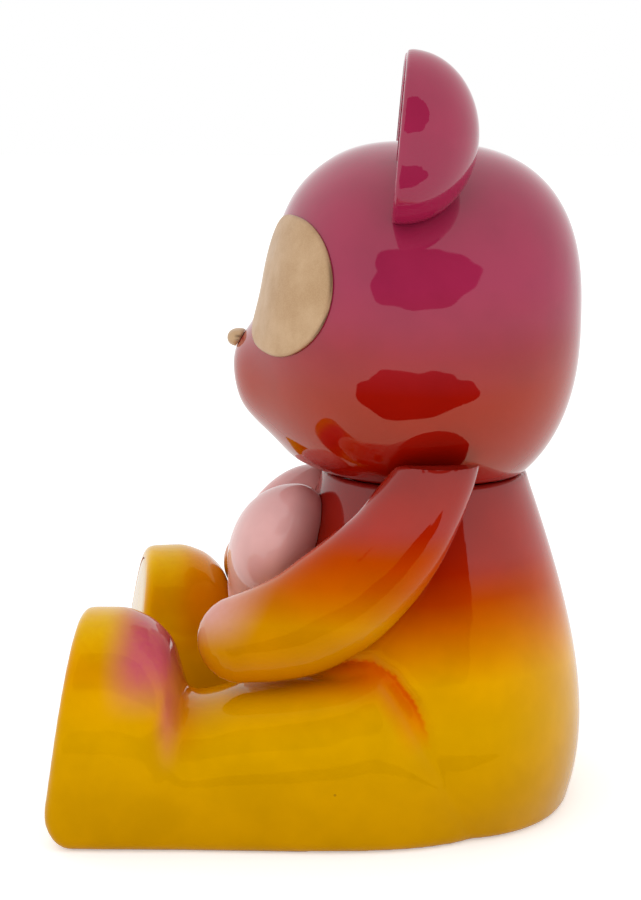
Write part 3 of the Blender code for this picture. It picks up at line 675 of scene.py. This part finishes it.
def sprayed(name, stops, marks=(), waver=5.0, warm=None, tint=None, level=0.5):
    """Airbrushed gloss paint: stops are heights in millimetres and their colours; marks are
    (attribute, colour) pairs sprayed over them. From the first to the second height of warm the
    candy paint tints its own gloss, and level is how strong that gloss gets."""
    n = Nodes(name)
    apart = n.add("ShaderNodeSeparateXYZ")
    n.link(n.place, apart.inputs[0])
    drift = n.math("MULTIPLY", n.math("SUBTRACT", n.noise(14.0, 2.0), 0.5), waver * 2.0 * MM)
    height = n.math("ADD", apart.outputs["Z"], drift)
    colour = n.ramp(height, stops)
    for mark, shade in marks:
        grain = n.math("MULTIPLY", n.math("SUBTRACT", n.noise(420.0, 1.0), 0.5), 0.22)
        fade = n.math("MULTIPLY", n.marked(mark), n.math("ADD", 1.0, grain), clamp=True)
        colour = n.mix(fade, colour, shade)
    cloud = n.spread(n.noise(38.0, 3.0, 0.55), 0.3, 0.7, 0.93, 1.05)
    grey = n.add("ShaderNodeCombineColor")
    for socket in grey.inputs[:3]:
        n.link(cloud, socket)
    colour = n.mix(1.0, colour, grey.outputs[0], "MULTIPLY")
    cell = n.add("ShaderNodeTexVoronoi")
    n.link(n.place, cell.inputs["Vector"])
    cell.inputs["Scale"].default_value = 34.0
    speck = n.spread(cell.outputs["Distance"], 0.012, 0.024, 1.0, 0.0)
    chosen = n.add("ShaderNodeSeparateColor")
    n.link(cell.outputs["Color"], chosen.inputs[0])
    nib = n.math("MULTIPLY", speck, n.math("GREATER_THAN", chosen.outputs[0], 0.55))
    colour = n.mix(n.math("MULTIPLY", nib, 0.35), colour, (0.05, 0.02, 0.01))
    n.link(colour, n.shader.inputs["Base Color"])
    peel = n.noise(150.0, 1.0)
    ripple = n.noise(32.0, 2.0)
    relief = n.math("ADD", n.math("MULTIPLY", peel, 0.05), n.math("MULTIPLY", ripple, 0.32))
    relief = n.math("ADD", relief, n.math("MULTIPLY", nib, 0.12))
    bump = n.add("ShaderNodeBump")
    bump.inputs["Strength"].default_value = 0.6
    bump.inputs["Distance"].default_value = 1.0 * MM
    n.link(relief, bump.inputs["Height"])
    n.link(bump.outputs[0], n.shader.inputs["Normal"])
    n.link(n.spread(n.noise(11.0, 4.0, 0.6), 0.35, 0.75, 0.02, 0.07), n.shader.inputs["Roughness"])
    n.shader.inputs["IOR"].default_value = 1.5
    if warm:
        share = n.spread(height, warm[0] * MM, warm[1] * MM)
        n.link(n.mix(share, (1.0, 1.0, 1.0), tint), n.shader.inputs["Specular Tint"])
        gloss = n.spread(height, warm[0] * MM, warm[1] * MM, 0.5, level)
        n.link(gloss, n.shader.inputs["Specular IOR Level"])
    return n.material


def gilded(name):
    """Satin gold paint with fine metal flake and soft wear, darkened as painted shade where the edge
    attribute marks it.
    """
    n = Nodes(name)
    tone = n.mix(n.spread(n.noise(55.0, 4.0, 0.6), 0.3, 0.72), (0.50, 0.31, 0.165), (0.60, 0.40, 0.235))
    flake = n.add("ShaderNodeTexVoronoi")
    n.link(n.place, flake.inputs["Vector"])
    flake.inputs["Scale"].default_value = 2600.0
    pick = n.add("ShaderNodeSeparateColor")
    n.link(flake.outputs["Color"], pick.inputs[0])
    tone = n.mix(n.spread(pick.outputs[0], 0.0, 1.0, 0.0, 0.16), tone, (0.74, 0.56, 0.36))
    # painted shade: darkens the gold where the edge attribute marks rims and gaps next to the head
    tone = n.mix(n.math("MULTIPLY", n.marked("edge"), 0.5), tone, (0.30, 0.13, 0.07))
    n.link(tone, n.shader.inputs["Base Color"])
    n.shader.inputs["Metallic"].default_value = 0.85
    n.link(n.spread(n.noise(70.0, 4.0, 0.6), 0.3, 0.7, 0.33, 0.46), n.shader.inputs["Roughness"])
    fine = n.math("MULTIPLY", n.noise(900.0, 2.0), 0.10)
    relief = n.math("ADD", fine, n.math("MULTIPLY", n.noise(60.0, 2.0), 0.5))
    bump = n.add("ShaderNodeBump")
    bump.inputs["Strength"].default_value = 0.35
    bump.inputs["Distance"].default_value = 0.6 * MM
    n.link(relief, bump.inputs["Height"])
    n.link(bump.outputs[0], n.shader.inputs["Normal"])
    return n.material


def moulded(name, colour, roughness=0.5, metallic=0.0, scratch=0.0):
    """Plain moulded plastic, or plated metal, with faint flow marks and handling wear."""
    n = Nodes(name)
    darker = tuple(c * 0.82 for c in colour)
    tone = n.mix(n.spread(n.noise(60.0, 4.0), 0.35, 0.7), colour, darker)
    n.link(tone, n.shader.inputs["Base Color"])
    n.shader.inputs["Metallic"].default_value = metallic
    low, high = roughness * 0.85, min(1.0, roughness * 1.2)
    n.link(n.spread(n.noise(130.0, 3.0), 0.3, 0.7, low, high), n.shader.inputs["Roughness"])
    stretch = (1.0, 1.0, 14.0) if scratch else None
    bump = n.add("ShaderNodeBump")
    bump.inputs["Strength"].default_value = 0.25 + scratch
    bump.inputs["Distance"].default_value = 0.2 * MM
    n.link(n.noise(500.0, 2.0, stretch=stretch), bump.inputs["Height"])
    n.link(bump.outputs[0], n.shader.inputs["Normal"])
    return n.material


GOLDEN = (1.0, 0.55, 0.0)
CORAL = (1.0, 0.60, 0.38)
MAGENTA = (0.345, 0.018, 0.067)
RED = (0.31, 0.004, 0.0)
HAND_PINK = (0.76, 0.38, 0.36)
TOE_PINK = (0.56, 0.085, 0.14)
FOOT_YELLOW = (0.78, 0.44, 0.0)
RED_ORANGE = (0.72, 0.11, 0.0)

# the stop at 120 mm, darker than RED above it, is painted shade under the jaw
head_paint = sprayed("head_paint", (
    (120.0, (0.27, 0.003, 0.0)), (150.0, RED), (176.0, (0.32, 0.006, 0.002)), (190.0, (0.335, 0.013, 0.020)),
    (203.0, (0.345, 0.02, 0.056)), (216.0, MAGENTA), (300.0, MAGENTA)),
    warm=(196.0, 168.0), tint=CORAL, level=1.0)
ear_paint = sprayed("ear_paint", (
    (225.0, (0.32, 0.008, 0.05)), (262.0, MAGENTA), (302.0, MAGENTA)))
# painted shade: the stops darken from 118 mm up to the neck at 134 mm, where the head shades the torso top,
# and the yellow darkens towards the ground below 45 mm for the dimmer light near the floor
body_paint = sprayed("body_paint", (
    (0.0, (0.53, 0.25, 0.0)), (20.0, (0.59, 0.285, 0.0)), (45.0, (0.69, 0.345, 0.0)),
    (62.0, (0.73, 0.34, 0.0)), (74.0, (0.64, 0.20, 0.0)), (83.0, (0.57, 0.11, 0.0)),
    (92.0, (0.46, 0.04, 0.0)), (102.0, (0.39, 0.015, 0.0)),
    (118.0, (0.35, 0.012, 0.004)), (134.0, (0.29, 0.010, 0.008))),
    marks=(("feet", FOOT_YELLOW), ("pooled", RED_ORANGE), ("toes", TOE_PINK)),
    warm=(108.0, 90.0), tint=GOLDEN)
# the stop at 148 mm, darker than the one at 136 mm, is painted shade where the shoulder tucks under the head
arm_paint = sprayed("arm_paint", (
    (60.0, (0.50, 0.15, 0.0)), (76.0, (0.58, 0.22, 0.0)), (87.0, (0.61, 0.235, 0.0)),
    (94.0, (0.56, 0.15, 0.0)), (102.0, (0.52, 0.08, 0.0)), (111.0, (0.49, 0.04, 0.0)),
    (122.0, (0.42, 0.014, 0.0)), (136.0, (0.34, 0.012, 0.003)),
    (148.0, (0.27, 0.010, 0.006))),
    marks=(("tip", HAND_PINK),), waver=4.0, warm=(126.0, 112.0), tint=GOLDEN)
heart_paint = sprayed("heart_paint", (
    (50.0, (0.80, 0.45, 0.42)), (95.0, (0.80, 0.46, 0.43)), (132.0, (0.76, 0.38, 0.37))), waver=8.0)
ear_face_paint = sprayed("ear_face_paint", (
    (235.0, (0.50, 0.17, 0.21)), (300.0, (0.55, 0.21, 0.24))))
sole_paint = sprayed("sole_paint", (
    (0.0, (0.70, 0.45, 0.15)), (88.0, (0.74, 0.50, 0.18))))
gold_paint = gilded("gold_paint")
bare_plastic = moulded("bare_plastic", (0.80, 0.78, 0.72), 0.5)
# dark maroon rather than black: the neck washer's colour is painted shadow for the gap under the head
gap_shadow_plastic = moulded("gap_shadow_plastic", (0.06, 0.006, 0.004), 0.8)
plated_steel = moulded("plated_steel", (0.62, 0.61, 0.60), 0.3, 1.0, 0.3)


# ---------------------------------------------------------------- pieces

def build_head():
    head = head_form("head_skin", 0.0, 72)
    cavity = head_form("cavity", -WALL, 24)
    hole = rod("hole", NECK_HOLE, (0, 0, 120), (0, 0, 145))
    combine(head, "DIFFERENCE", cavity, hole)
    discard(cavity, hole)
    finished(head, "head", head_paint, "head_shell", slot="head_shell")


def build_ear(side, head_clear):
    name = side_name(side)
    ear = ear_form(name + "_ear_skin", side)
    combine(ear, "DIFFERENCE", head_clear)
    remeshed(ear, 0.75, 5)
    turn = ear_transform(side)
    front = turn @ Vector((0, -8 * MM, 0)) / MM
    floor = turn @ Vector((0, (EAR_RECESS_DEPTH - EAR_FRONT) * MM, 0)) / MM
    recess = rod("recess", EAR_RECESS, front, floor, 128)
    combine(ear, "DIFFERENCE", recess)
    discard(recess)
    finished(ear, "head", ear_paint, name + "_ear", slot="ear_shell")
    build_ear_face(side, head_clear)


def build_ear_face(side, head_clear):
    """The disc in the recess, with a softly rounded edge and a slight dish."""
    name = side_name(side)
    radius = EAR_RECESS - GAP
    base = EAR_RECESS_DEPTH - EAR_FRONT - GAP
    rings = []
    outline = [(0.35, base), (1.0, base)]
    for a in np.linspace(0, math.pi / 2, 6):
        outline.append((1.0 - 0.028 * (1 - math.cos(a)), base - 0.55 - 0.45 * math.sin(a)))
    outline += [(share, base - 1.0 + 0.35 * (1.0 - share ** 2)) for share in np.linspace(0.93, 0.06, 16)]
    for share, depth in outline:
        turns = (2.0 * math.pi * i / 96 for i in range(96))
        rings.append([(radius * share * math.cos(t), depth, radius * share * math.sin(t)) for t in turns])
    disc = skin(name + "_ear_face_skin", rings)
    disc.data.transform(ear_transform(side))
    combine(disc, "DIFFERENCE", head_clear)
    finished(disc, "head", ear_face_paint, name + "_ear_face", slot="ear_face")


def patch_outline(angle):
    """An oval that is squarer towards the middle of the face."""
    across, up = math.cos(angle), math.sin(angle)
    if across > 0.0:
        return PATCH_HALF[0] * across, PATCH_HALF[1] * up
    return PATCH_INNER * signed_power(across, 0.78), PATCH_HALF[1] * signed_power(up, 0.78)


def build_eye_patch(side, head_tree):
    """A pillowed pad that follows the head, its edge rolled down to a fine gap."""
    name = side_name(side)
    aim = Vector((side * math.sin(PATCH_CENTRE_ANGLE), -math.cos(PATCH_CENTRE_ANGLE), 0.0))
    across = Vector((side * math.cos(PATCH_CENTRE_ANGLE), math.sin(PATCH_CENTRE_ANGLE), 0.0))
    centre = Vector((0.0, HEAD_CENTRE[1], PATCH_CENTRE_Z))
    heart = Vector(HEAD_CENTRE)
    count = 128
    shares = [1.0 - (1.0 - i / 26.0) ** 1.5 for i in range(1, 27)]

    def ring_at(share, rise):
        ring = []
        for i in range(count):
            u, v = patch_outline(2 * math.pi * i / count)
            a = share * (u * math.cos(PATCH_TILT) - v * math.sin(PATCH_TILT))
            b = share * (u * math.sin(PATCH_TILT) + v * math.cos(PATCH_TILT))
            start = (centre + aim * 120.0 + across * a + Vector((0, 0, b))) * MM
            spot = head_tree.ray_cast(start, -aim)[0] / MM
            ring.append(spot + (spot - heart).normalized() * rise)
        return ring

    half = sum(PATCH_HALF) / 2.0
    rings = [ring_at(share, GAP) for share in shares]
    for share in reversed(shares):
        inward = min(1.0, (1.0 - share) * half / PATCH_EDGE)
        rise = GAP + 0.15 + (PATCH_RISE - GAP - 0.15) * math.sqrt(1.0 - (1.0 - inward) ** 2)
        rings.append(ring_at(share, rise))
    patch = skin(name + "_eye_patch_skin", rings)
    # edge marks painted shade: the underside and the last 1.6 mm of the rolled rim, by the gap to the head,
    # are darkened
    edge = np.zeros(len(patch.data.vertices))
    for i, share in enumerate(list(shares) + list(reversed(shares))):
        rim_shade = max(0.0, 1.0 - (1.0 - share) * half / 1.6)
        edge[i * count:(i + 1) * count] = 1.0 if i < len(shares) else rim_shade
    attribute(patch, "edge", edge)
    finished(patch, "head", gold_paint, name + "_eye_patch", slot="gold", angle=60.0)


def build_nose(head_clear):
    x, y, z = NOSE_CENTRE
    a, b, c = NOSE_HALF

    def place(d):
        across = a * (1.0 + 0.10 * d.z) * signed_power(d.x, 0.92)
        return x + across, y + b * signed_power(d.y, 0.9), z + c * signed_power(d.z, 0.9)

    nose = quad_sphere("nose_skin", 20, place)
    combine(nose, "DIFFERENCE", head_clear)
    # edge marks painted shade on the back of the nose, where it sinks into the snout
    attribute(nose, "edge", ramp(y * MM + 0.5 * MM, y * MM + 2.5 * MM, points_of(nose)[:, 1]))
    finished(nose, "head", gold_paint, "nose", slot="gold")


def crease(points, normals, path, width, depth, axes=(0, 1, 2), seen=None):
    """Presses a groove along a path of (x, y, z, strength) points, in millimetres. axes are those
    that distance counts in, and seen marks the points it may press."""
    axes = list(axes)
    best = np.zeros(len(points))
    for start, end in zip(path, path[1:]):
        a, b = np.array(start[:3])[axes] * MM, np.array(end[:3])[axes] * MM
        t = np.clip(((points[:, axes] - a) @ (b - a)) / ((b - a) @ (b - a)), 0.0, 1.0)
        away = np.linalg.norm(points[:, axes] - (a + t[:, None] * (b - a)), axis=1) / (width * MM)
        best = np.maximum(best, np.clip(1.0 - away, 0.0, 1.0) ** 1.4 * (start[3] + (end[3] - start[3]) * t))
    if seen is not None:
        best = best * seen
    return points - normals * (best * depth * MM)[:, None], best


def under_path(points, path, reach):
    """Seen from the side: which points lie below a path, and how near they are to it, from its
    strength on the path down to 0 at reach millimetres."""
    flat = points[:, 1:] / MM
    nearest = np.full(len(points), 1000.0)
    turn, strength = np.zeros(len(points)), np.zeros(len(points))
    for start, end in zip(path, path[1:]):
        a, b = np.array(start[1:3]), np.array(end[1:3])
        t = np.clip(((flat - a) @ (b - a)) / ((b - a) @ (b - a)), 0.0, 1.0)
        offset = flat - (a + t[:, None] * (b - a))
        away = np.linalg.norm(offset, axis=1)
        closer = away < nearest
        nearest = np.where(closer, away, nearest)
        turn = np.where(closer, (b - a)[0] * offset[:, 1] - (b - a)[1] * offset[:, 0], turn)
        strength = np.where(closer, start[3] + (end[3] - start[3]) * t, strength)
    below = turn < 0.0
    return below, below * strength * np.clip(1.0 - nearest / reach, 0.0, 1.0)


def normals_of(obj):
    flat = np.empty(len(obj.data.vertices) * 3)
    obj.data.vertex_normals.foreach_get("vector", flat)
    return flat.reshape(-1, 3)


def placed(path, side):
    """A path on the left leg, taken to either leg."""
    return [leg_place((side * x, y, z), side) + (strength,) for x, y, z, strength in path]


def pressed_folds(body):
    """Presses the folds into the skin and returns its marks."""
    points, normals = points_of(body), normals_of(body)
    rim = ramp(35.0 * MM, 40.0 * MM, np.hypot(points[:, 0], points[:, 1]))
    rim *= ramp((TORSO_TOP - 6.0) * MM, (TORSO_TOP - 0.5) * MM, points[:, 2])
    points[:, 2] += rim * RIM_LIFT * MM
    fold, band, thigh = np.zeros(len(points)), np.zeros(len(points)), np.zeros(len(points))
    for side in (1, -1):
        points, _ = crease(points, normals, placed(ANKLE_FOLD, side), 7.0, 2.6)
        outside = ramp(44.0 * MM, 52.0 * MM, side * points[:, 0])
        path = placed(HIP_FOLD, side)
        points, pressed = crease(points, normals, path, 4.0, 2.2, (1, 2), outside)
        fold = np.maximum(fold, pressed)
        below, near = under_path(points, [(0.0, -95.0, 73.0, 0.0)] + path, 12.0)
        band = np.maximum(band, near * outside)
        thigh = np.maximum(thigh, below * outside)
    put_points(body, points)
    relax(body, 1)
    points = points_of(body)
    points[:, 2] = np.where(points[:, 2] < 0.25 * MM, 0.0, points[:, 2])
    put_points(body, points)
    return body_marks(points, fold, band, thigh)


def build_body():
    """Torso and legs as one painted skin, open below, with pockets for the sole plates."""
    forms = [torso_form("torso", 0.0), leg_form("left", 1), leg_form("right", -1)]
    body = joined("body_skin", forms)
    discard(*forms)
    remeshed(body, 1.35, 6)
    marks = pressed_folds(body)
    cutters = [rod("neck", NECK_HOLE, (0, 0, 120), (0, 0, 140))]
    ceiling = TORSO_TOP - TOP_WALL
    levels = (LEDGE_Z[1], 30.0, 55.0, 80.0, 104.0, ceiling - 4.0)
    rings = [torso_ring(z, torso_radius(z) - WALL, 48) for z in levels]
    rings.append(torso_ring(ceiling, torso_radius(ceiling) - WALL - 2.0, 48))
    cutters.append(skin("cavity", rings))
    cutters.append(rod("opening", BASE_OPENING, (0, 0, -5), (0, 0, LEDGE_Z[0]), 96))
    cutters.append(rod("ledge", LEDGE_RADIUS, (0, 0, 2), (0, 0, 15), 96))
    y, z = SHOULDER
    first = leg_station(LEG_STATIONS[0][0])
    for side in (1, -1):
        cutters.append(rod("shoulder", SHOULDER_HOLE, (side * 36, y, z), (side * 60, y, z)))
        rings = [leg_ring((first[0] + d,) + first[1:], side, -SOLE_RIM) for d in (-6.0, 3.3)]
        cutters.append(skin("pocket", rings))
    for name, values in marks.items():
        attribute(body, name, values)
    combine(body, "DIFFERENCE", *cutters)
    discard(*cutters)
    finished(body, "body", body_paint, "torso_shell", "left_leg_shell", "right_leg_shell", slot="torso_shell")
    for side in (1, -1):
        build_sole(side, first)


def body_marks(points, fold, band, thigh):
    """Where darker paint pooled at the hips and shins, and pink was sprayed behind the toes."""
    mm = points / MM
    y, z = mm[:, 1], mm[:, 2]
    right = mm[:, 0] < 0
    along = y - np.where(right, RIGHT_LEG_BACK, 0.0)
    top = thigh * ramp(54.0, 67.0, z) * ramp(-92.0, -45.0, along) * (1.0 - ramp(-14.0, 0.0, y))
    pooled = np.maximum(np.maximum(fold ** 2 * 0.6, 1.2 * band), 0.9 * top)
    behind = ramp(-124.0, -108.0, along) * (1.0 - ramp(-97.0, -90.0, along)) * ramp(50.0, 74.0, z)
    ankle = np.exp(-((along + 97.5) / 3.0) ** 2) * ramp(30.0, 56.0, z) * 0.55
    toes = np.where(right, 0.0, np.maximum(behind * 0.95, ankle))
    beside = np.exp(-((along + 94.0) / 7.0) ** 2) * ramp(32.0, 54.0, z)
    shin = ramp(-122.0, -108.0, along) * (1.0 - ramp(-60.0, -50.0, along)) * ramp(40.0, 66.0, z)
    orange = np.where(right, shin, beside)
    feet = (1.0 - ramp(-98.0, -92.0, along)) * ramp(62.0, 88.0, z)
    return {"pooled": np.maximum(pooled, 0.45 * orange), "toes": toes, "feet": feet}


def build_sole(side, first):
    """The plate that closes a sole, its edge rounded towards the seam."""
    rings = []
    for depth, inset in SOLE_EDGE:
        station = (first[0] + depth,) + first[1:]
        rings.append(leg_ring(station, side, -SOLE_RIM - GAP - inset))
    for share in (0.8, 0.6, 0.4, 0.2):
        station = (first[0] - SOLE_DISH * smooth_step(1.0, 0.2, share),) + first[1:]
        rings.append(leg_ring(station, side, -SOLE_RIM - GAP - SOLE_EDGE[-1][1], share=share))
    name = side_name(side)
    sole = skin(name + "_sole_skin", rings)
    finished(sole, "body", sole_paint, name + "_sole_plate", slot="sole")


def build_arm(side, clear, inner_clear):
    name = side_name(side)
    arm = arm_form(name + "_arm_skin", side)
    combine(arm, "DIFFERENCE", *clear)
    remeshed(arm, 0.8, 5)
    mm = points_of(arm) / MM
    tip = (1.0 - ramp(-86.0, -60.0, mm[:, 1] + 0.5 * (90.0 - mm[:, 2]))) * ramp(76.0, 91.0, mm[:, 2])
    attribute(arm, "tip", tip)
    cavity = arm_form("cavity", side, -WALL, 24, 20)
    combine(cavity, "DIFFERENCE", *inner_clear)
    y, z = SHOULDER
    hole = rod("hole", SHOULDER_HOLE, (side * 40, y, z), (side * 60, y, z))
    combine(arm, "DIFFERENCE", cavity, hole)
    discard(cavity, hole)
    finished(arm, name + "_arm", arm_paint, name + "_arm_shell", slot="arm_shell")


def build_heart(*clear):
    heart = quad_sphere("heart_skin", 44, lambda d: heart_point((d.x, d.y, d.z)))
    combine(heart, "DIFFERENCE", *clear)
    finished(heart, "body", heart_paint, "heart_shell", slot="heart")


def build_pieces():
    head_fine = head_form("head_fine", 0.0, 72)
    head_clear = head_form("head_clear", GAP, 40)
    build_head()
    build_nose(head_clear)
    tree = tree_of(head_fine)
    for side in (1, -1):
        build_ear(side, head_clear)
        build_eye_patch(side, tree)
    discard(head_fine, head_clear)
    build_body()
    torso_clear = torso_form("torso_clear", GAP)
    torso_arm = torso_form("torso_arm", ARM_CLEARANCE)
    torso_arm_inner = torso_form("torso_arm_inner", ARM_CLEARANCE + WALL)
    sweeps = head_sweeps("sweep", 0.0)
    sweeps_inner = head_sweeps("sweep_inner", WALL)
    legs = []
    for side in (1, -1):
        legs.append(leg_form("leg_clear", side, ARM_CLEARANCE, front=2.0))
        leg_inner = leg_form("leg_inner", side, ARM_CLEARANCE + WALL, front=2.0)
        build_arm(side, (torso_arm, legs[-1], *sweeps), (torso_arm_inner, leg_inner, *sweeps_inner))
        discard(leg_inner)
    build_heart(torso_clear, *legs)
    discard(torso_clear, torso_arm, torso_arm_inner, *sweeps, *sweeps_inner, *legs)


def finish_carried_nodes():
    """The hidden plugs, pegs and fasteners keep their CAD shapes."""
    for name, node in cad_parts.items():
        if node.hide_render:
            continue
        look = plated_steel if name.startswith("base_screw") else bare_plastic
        # the neck washer gets the plastic whose colour is painted shadow in the neck gap
        if name == "neck_washer":
            look = gap_shadow_plastic
        node.data.materials.clear()
        node.data.materials.append(look)
        node.data.shade_smooth()
        node.data.set_sharp_from_angle(angle=math.radians(30.0))


# ---------------------------------------------------------------- studio

def card(name, centre, size, turn=(0.0, 0.0, 0.0), phase=0.0):
    """A black cloth with a loose outline that only shows in reflections."""
    bm = bmesh.new()
    bmesh.ops.create_circle(bm, cap_ends=True, segments=180, radius=0.5)
    for vert in bm.verts:
        a = math.atan2(vert.co.y, vert.co.x)
        square = (abs(math.cos(a)) ** 3.2 + abs(math.sin(a)) ** 3.2) ** (-1.0 / 3.2)
        lump = 0.05 * math.sin(3 * a + phase) + 0.05 * math.sin(5 * a + 2.0 * phase)
        lump += 0.025 * math.sin(11 * a + phase)
        vert.co *= square * (1.0 + lump)
    mesh = bpy.data.meshes.new(name)
    bm.to_mesh(mesh)
    bm.free()
    obj = new_object(name, mesh)
    obj.location = centre
    obj.rotation_euler = turn
    obj.scale = (size[0], size[1], 1.0)
    n = Nodes(name + "_look")
    n.shader.inputs["Base Color"].default_value = (0.0, 0.0, 0.0, 1.0)
    n.shader.inputs["Roughness"].default_value = 1.0
    n.shader.inputs["Specular IOR Level"].default_value = 0.0
    mesh.materials.append(n.material)
    obj.visible_camera = False
    obj.visible_diffuse = False
    obj.visible_shadow = False
    return obj


def build_floor():
    bm = bmesh.new()
    bmesh.ops.create_grid(bm, x_segments=1, y_segments=1, size=6.0)
    mesh = bpy.data.meshes.new("floor")
    bm.to_mesh(mesh)
    bm.free()
    floor = new_object("floor", mesh)
    floor.location = (0.0, 0.0, -0.0002)
    n = Nodes("floor_look")
    tone = n.mix(n.spread(n.noise(3.0, 2.0), 0.3, 0.7), (0.90, 0.90, 0.895), (0.92, 0.92, 0.915))
    n.link(tone, n.shader.inputs["Base Color"])
    n.shader.inputs["Roughness"].default_value = 0.9
    n.shader.inputs["Specular IOR Level"].default_value = 0.1
    n.shader.inputs["Emission Color"].default_value = (1.0, 1.0, 1.0, 1.0)
    seen = n.add("ShaderNodeLightPath").outputs["Is Camera Ray"]
    n.link(n.math("ADD", n.math("MULTIPLY", seen, 0.26), 0.12), n.shader.inputs["Emission Strength"])
    mesh.materials.append(n.material)


def build_cards():
    """Black cloths by the camera and on the table in front of it, which give the gloss its shapes."""
    upright = (math.radians(90.0), 0.0, math.radians(90.0))
    card("card_wall", (1.2, 0.12, 1.20), (1.9, 1.50), upright, 1.0)
    card("card_table", (0.315, -0.008, 0.002), (0.26, 0.44), phase=2.2)


def build_world():
    """Even white surroundings."""
    world = bpy.data.worlds.new("studio")
    bpy.context.scene.world = world
    world.use_nodes = True
    tree = world.node_tree
    background = tree.nodes["Background"]
    background.inputs["Color"].default_value = (1.0, 1.0, 1.0, 1.0)
    background.inputs["Strength"].default_value = 1.0


def build_camera():
    data = bpy.data.cameras.new("camera")
    data.sensor_width = 36.0
    data.lens = CAMERA_LENS
    data.clip_start = 0.01
    data.clip_end = 50.0
    camera = bpy.data.objects.new("camera", data)
    bpy.context.scene.collection.objects.link(camera)
    yaw, pitch = CAMERA_TURN
    ahead = Vector((-math.cos(pitch) * math.cos(yaw), -math.cos(pitch) * math.sin(yaw), -math.sin(pitch)))
    camera.location = CAMERA_PLACE
    camera.rotation_mode = "QUATERNION"
    camera.rotation_quaternion = ahead.to_track_quat("-Z", "Y")
    bpy.context.scene.camera = camera


build_pieces()
finish_carried_nodes()
build_floor()
build_cards()
build_world()
build_camera()
bpy.context.scene.view_settings.view_transform = "Standard"
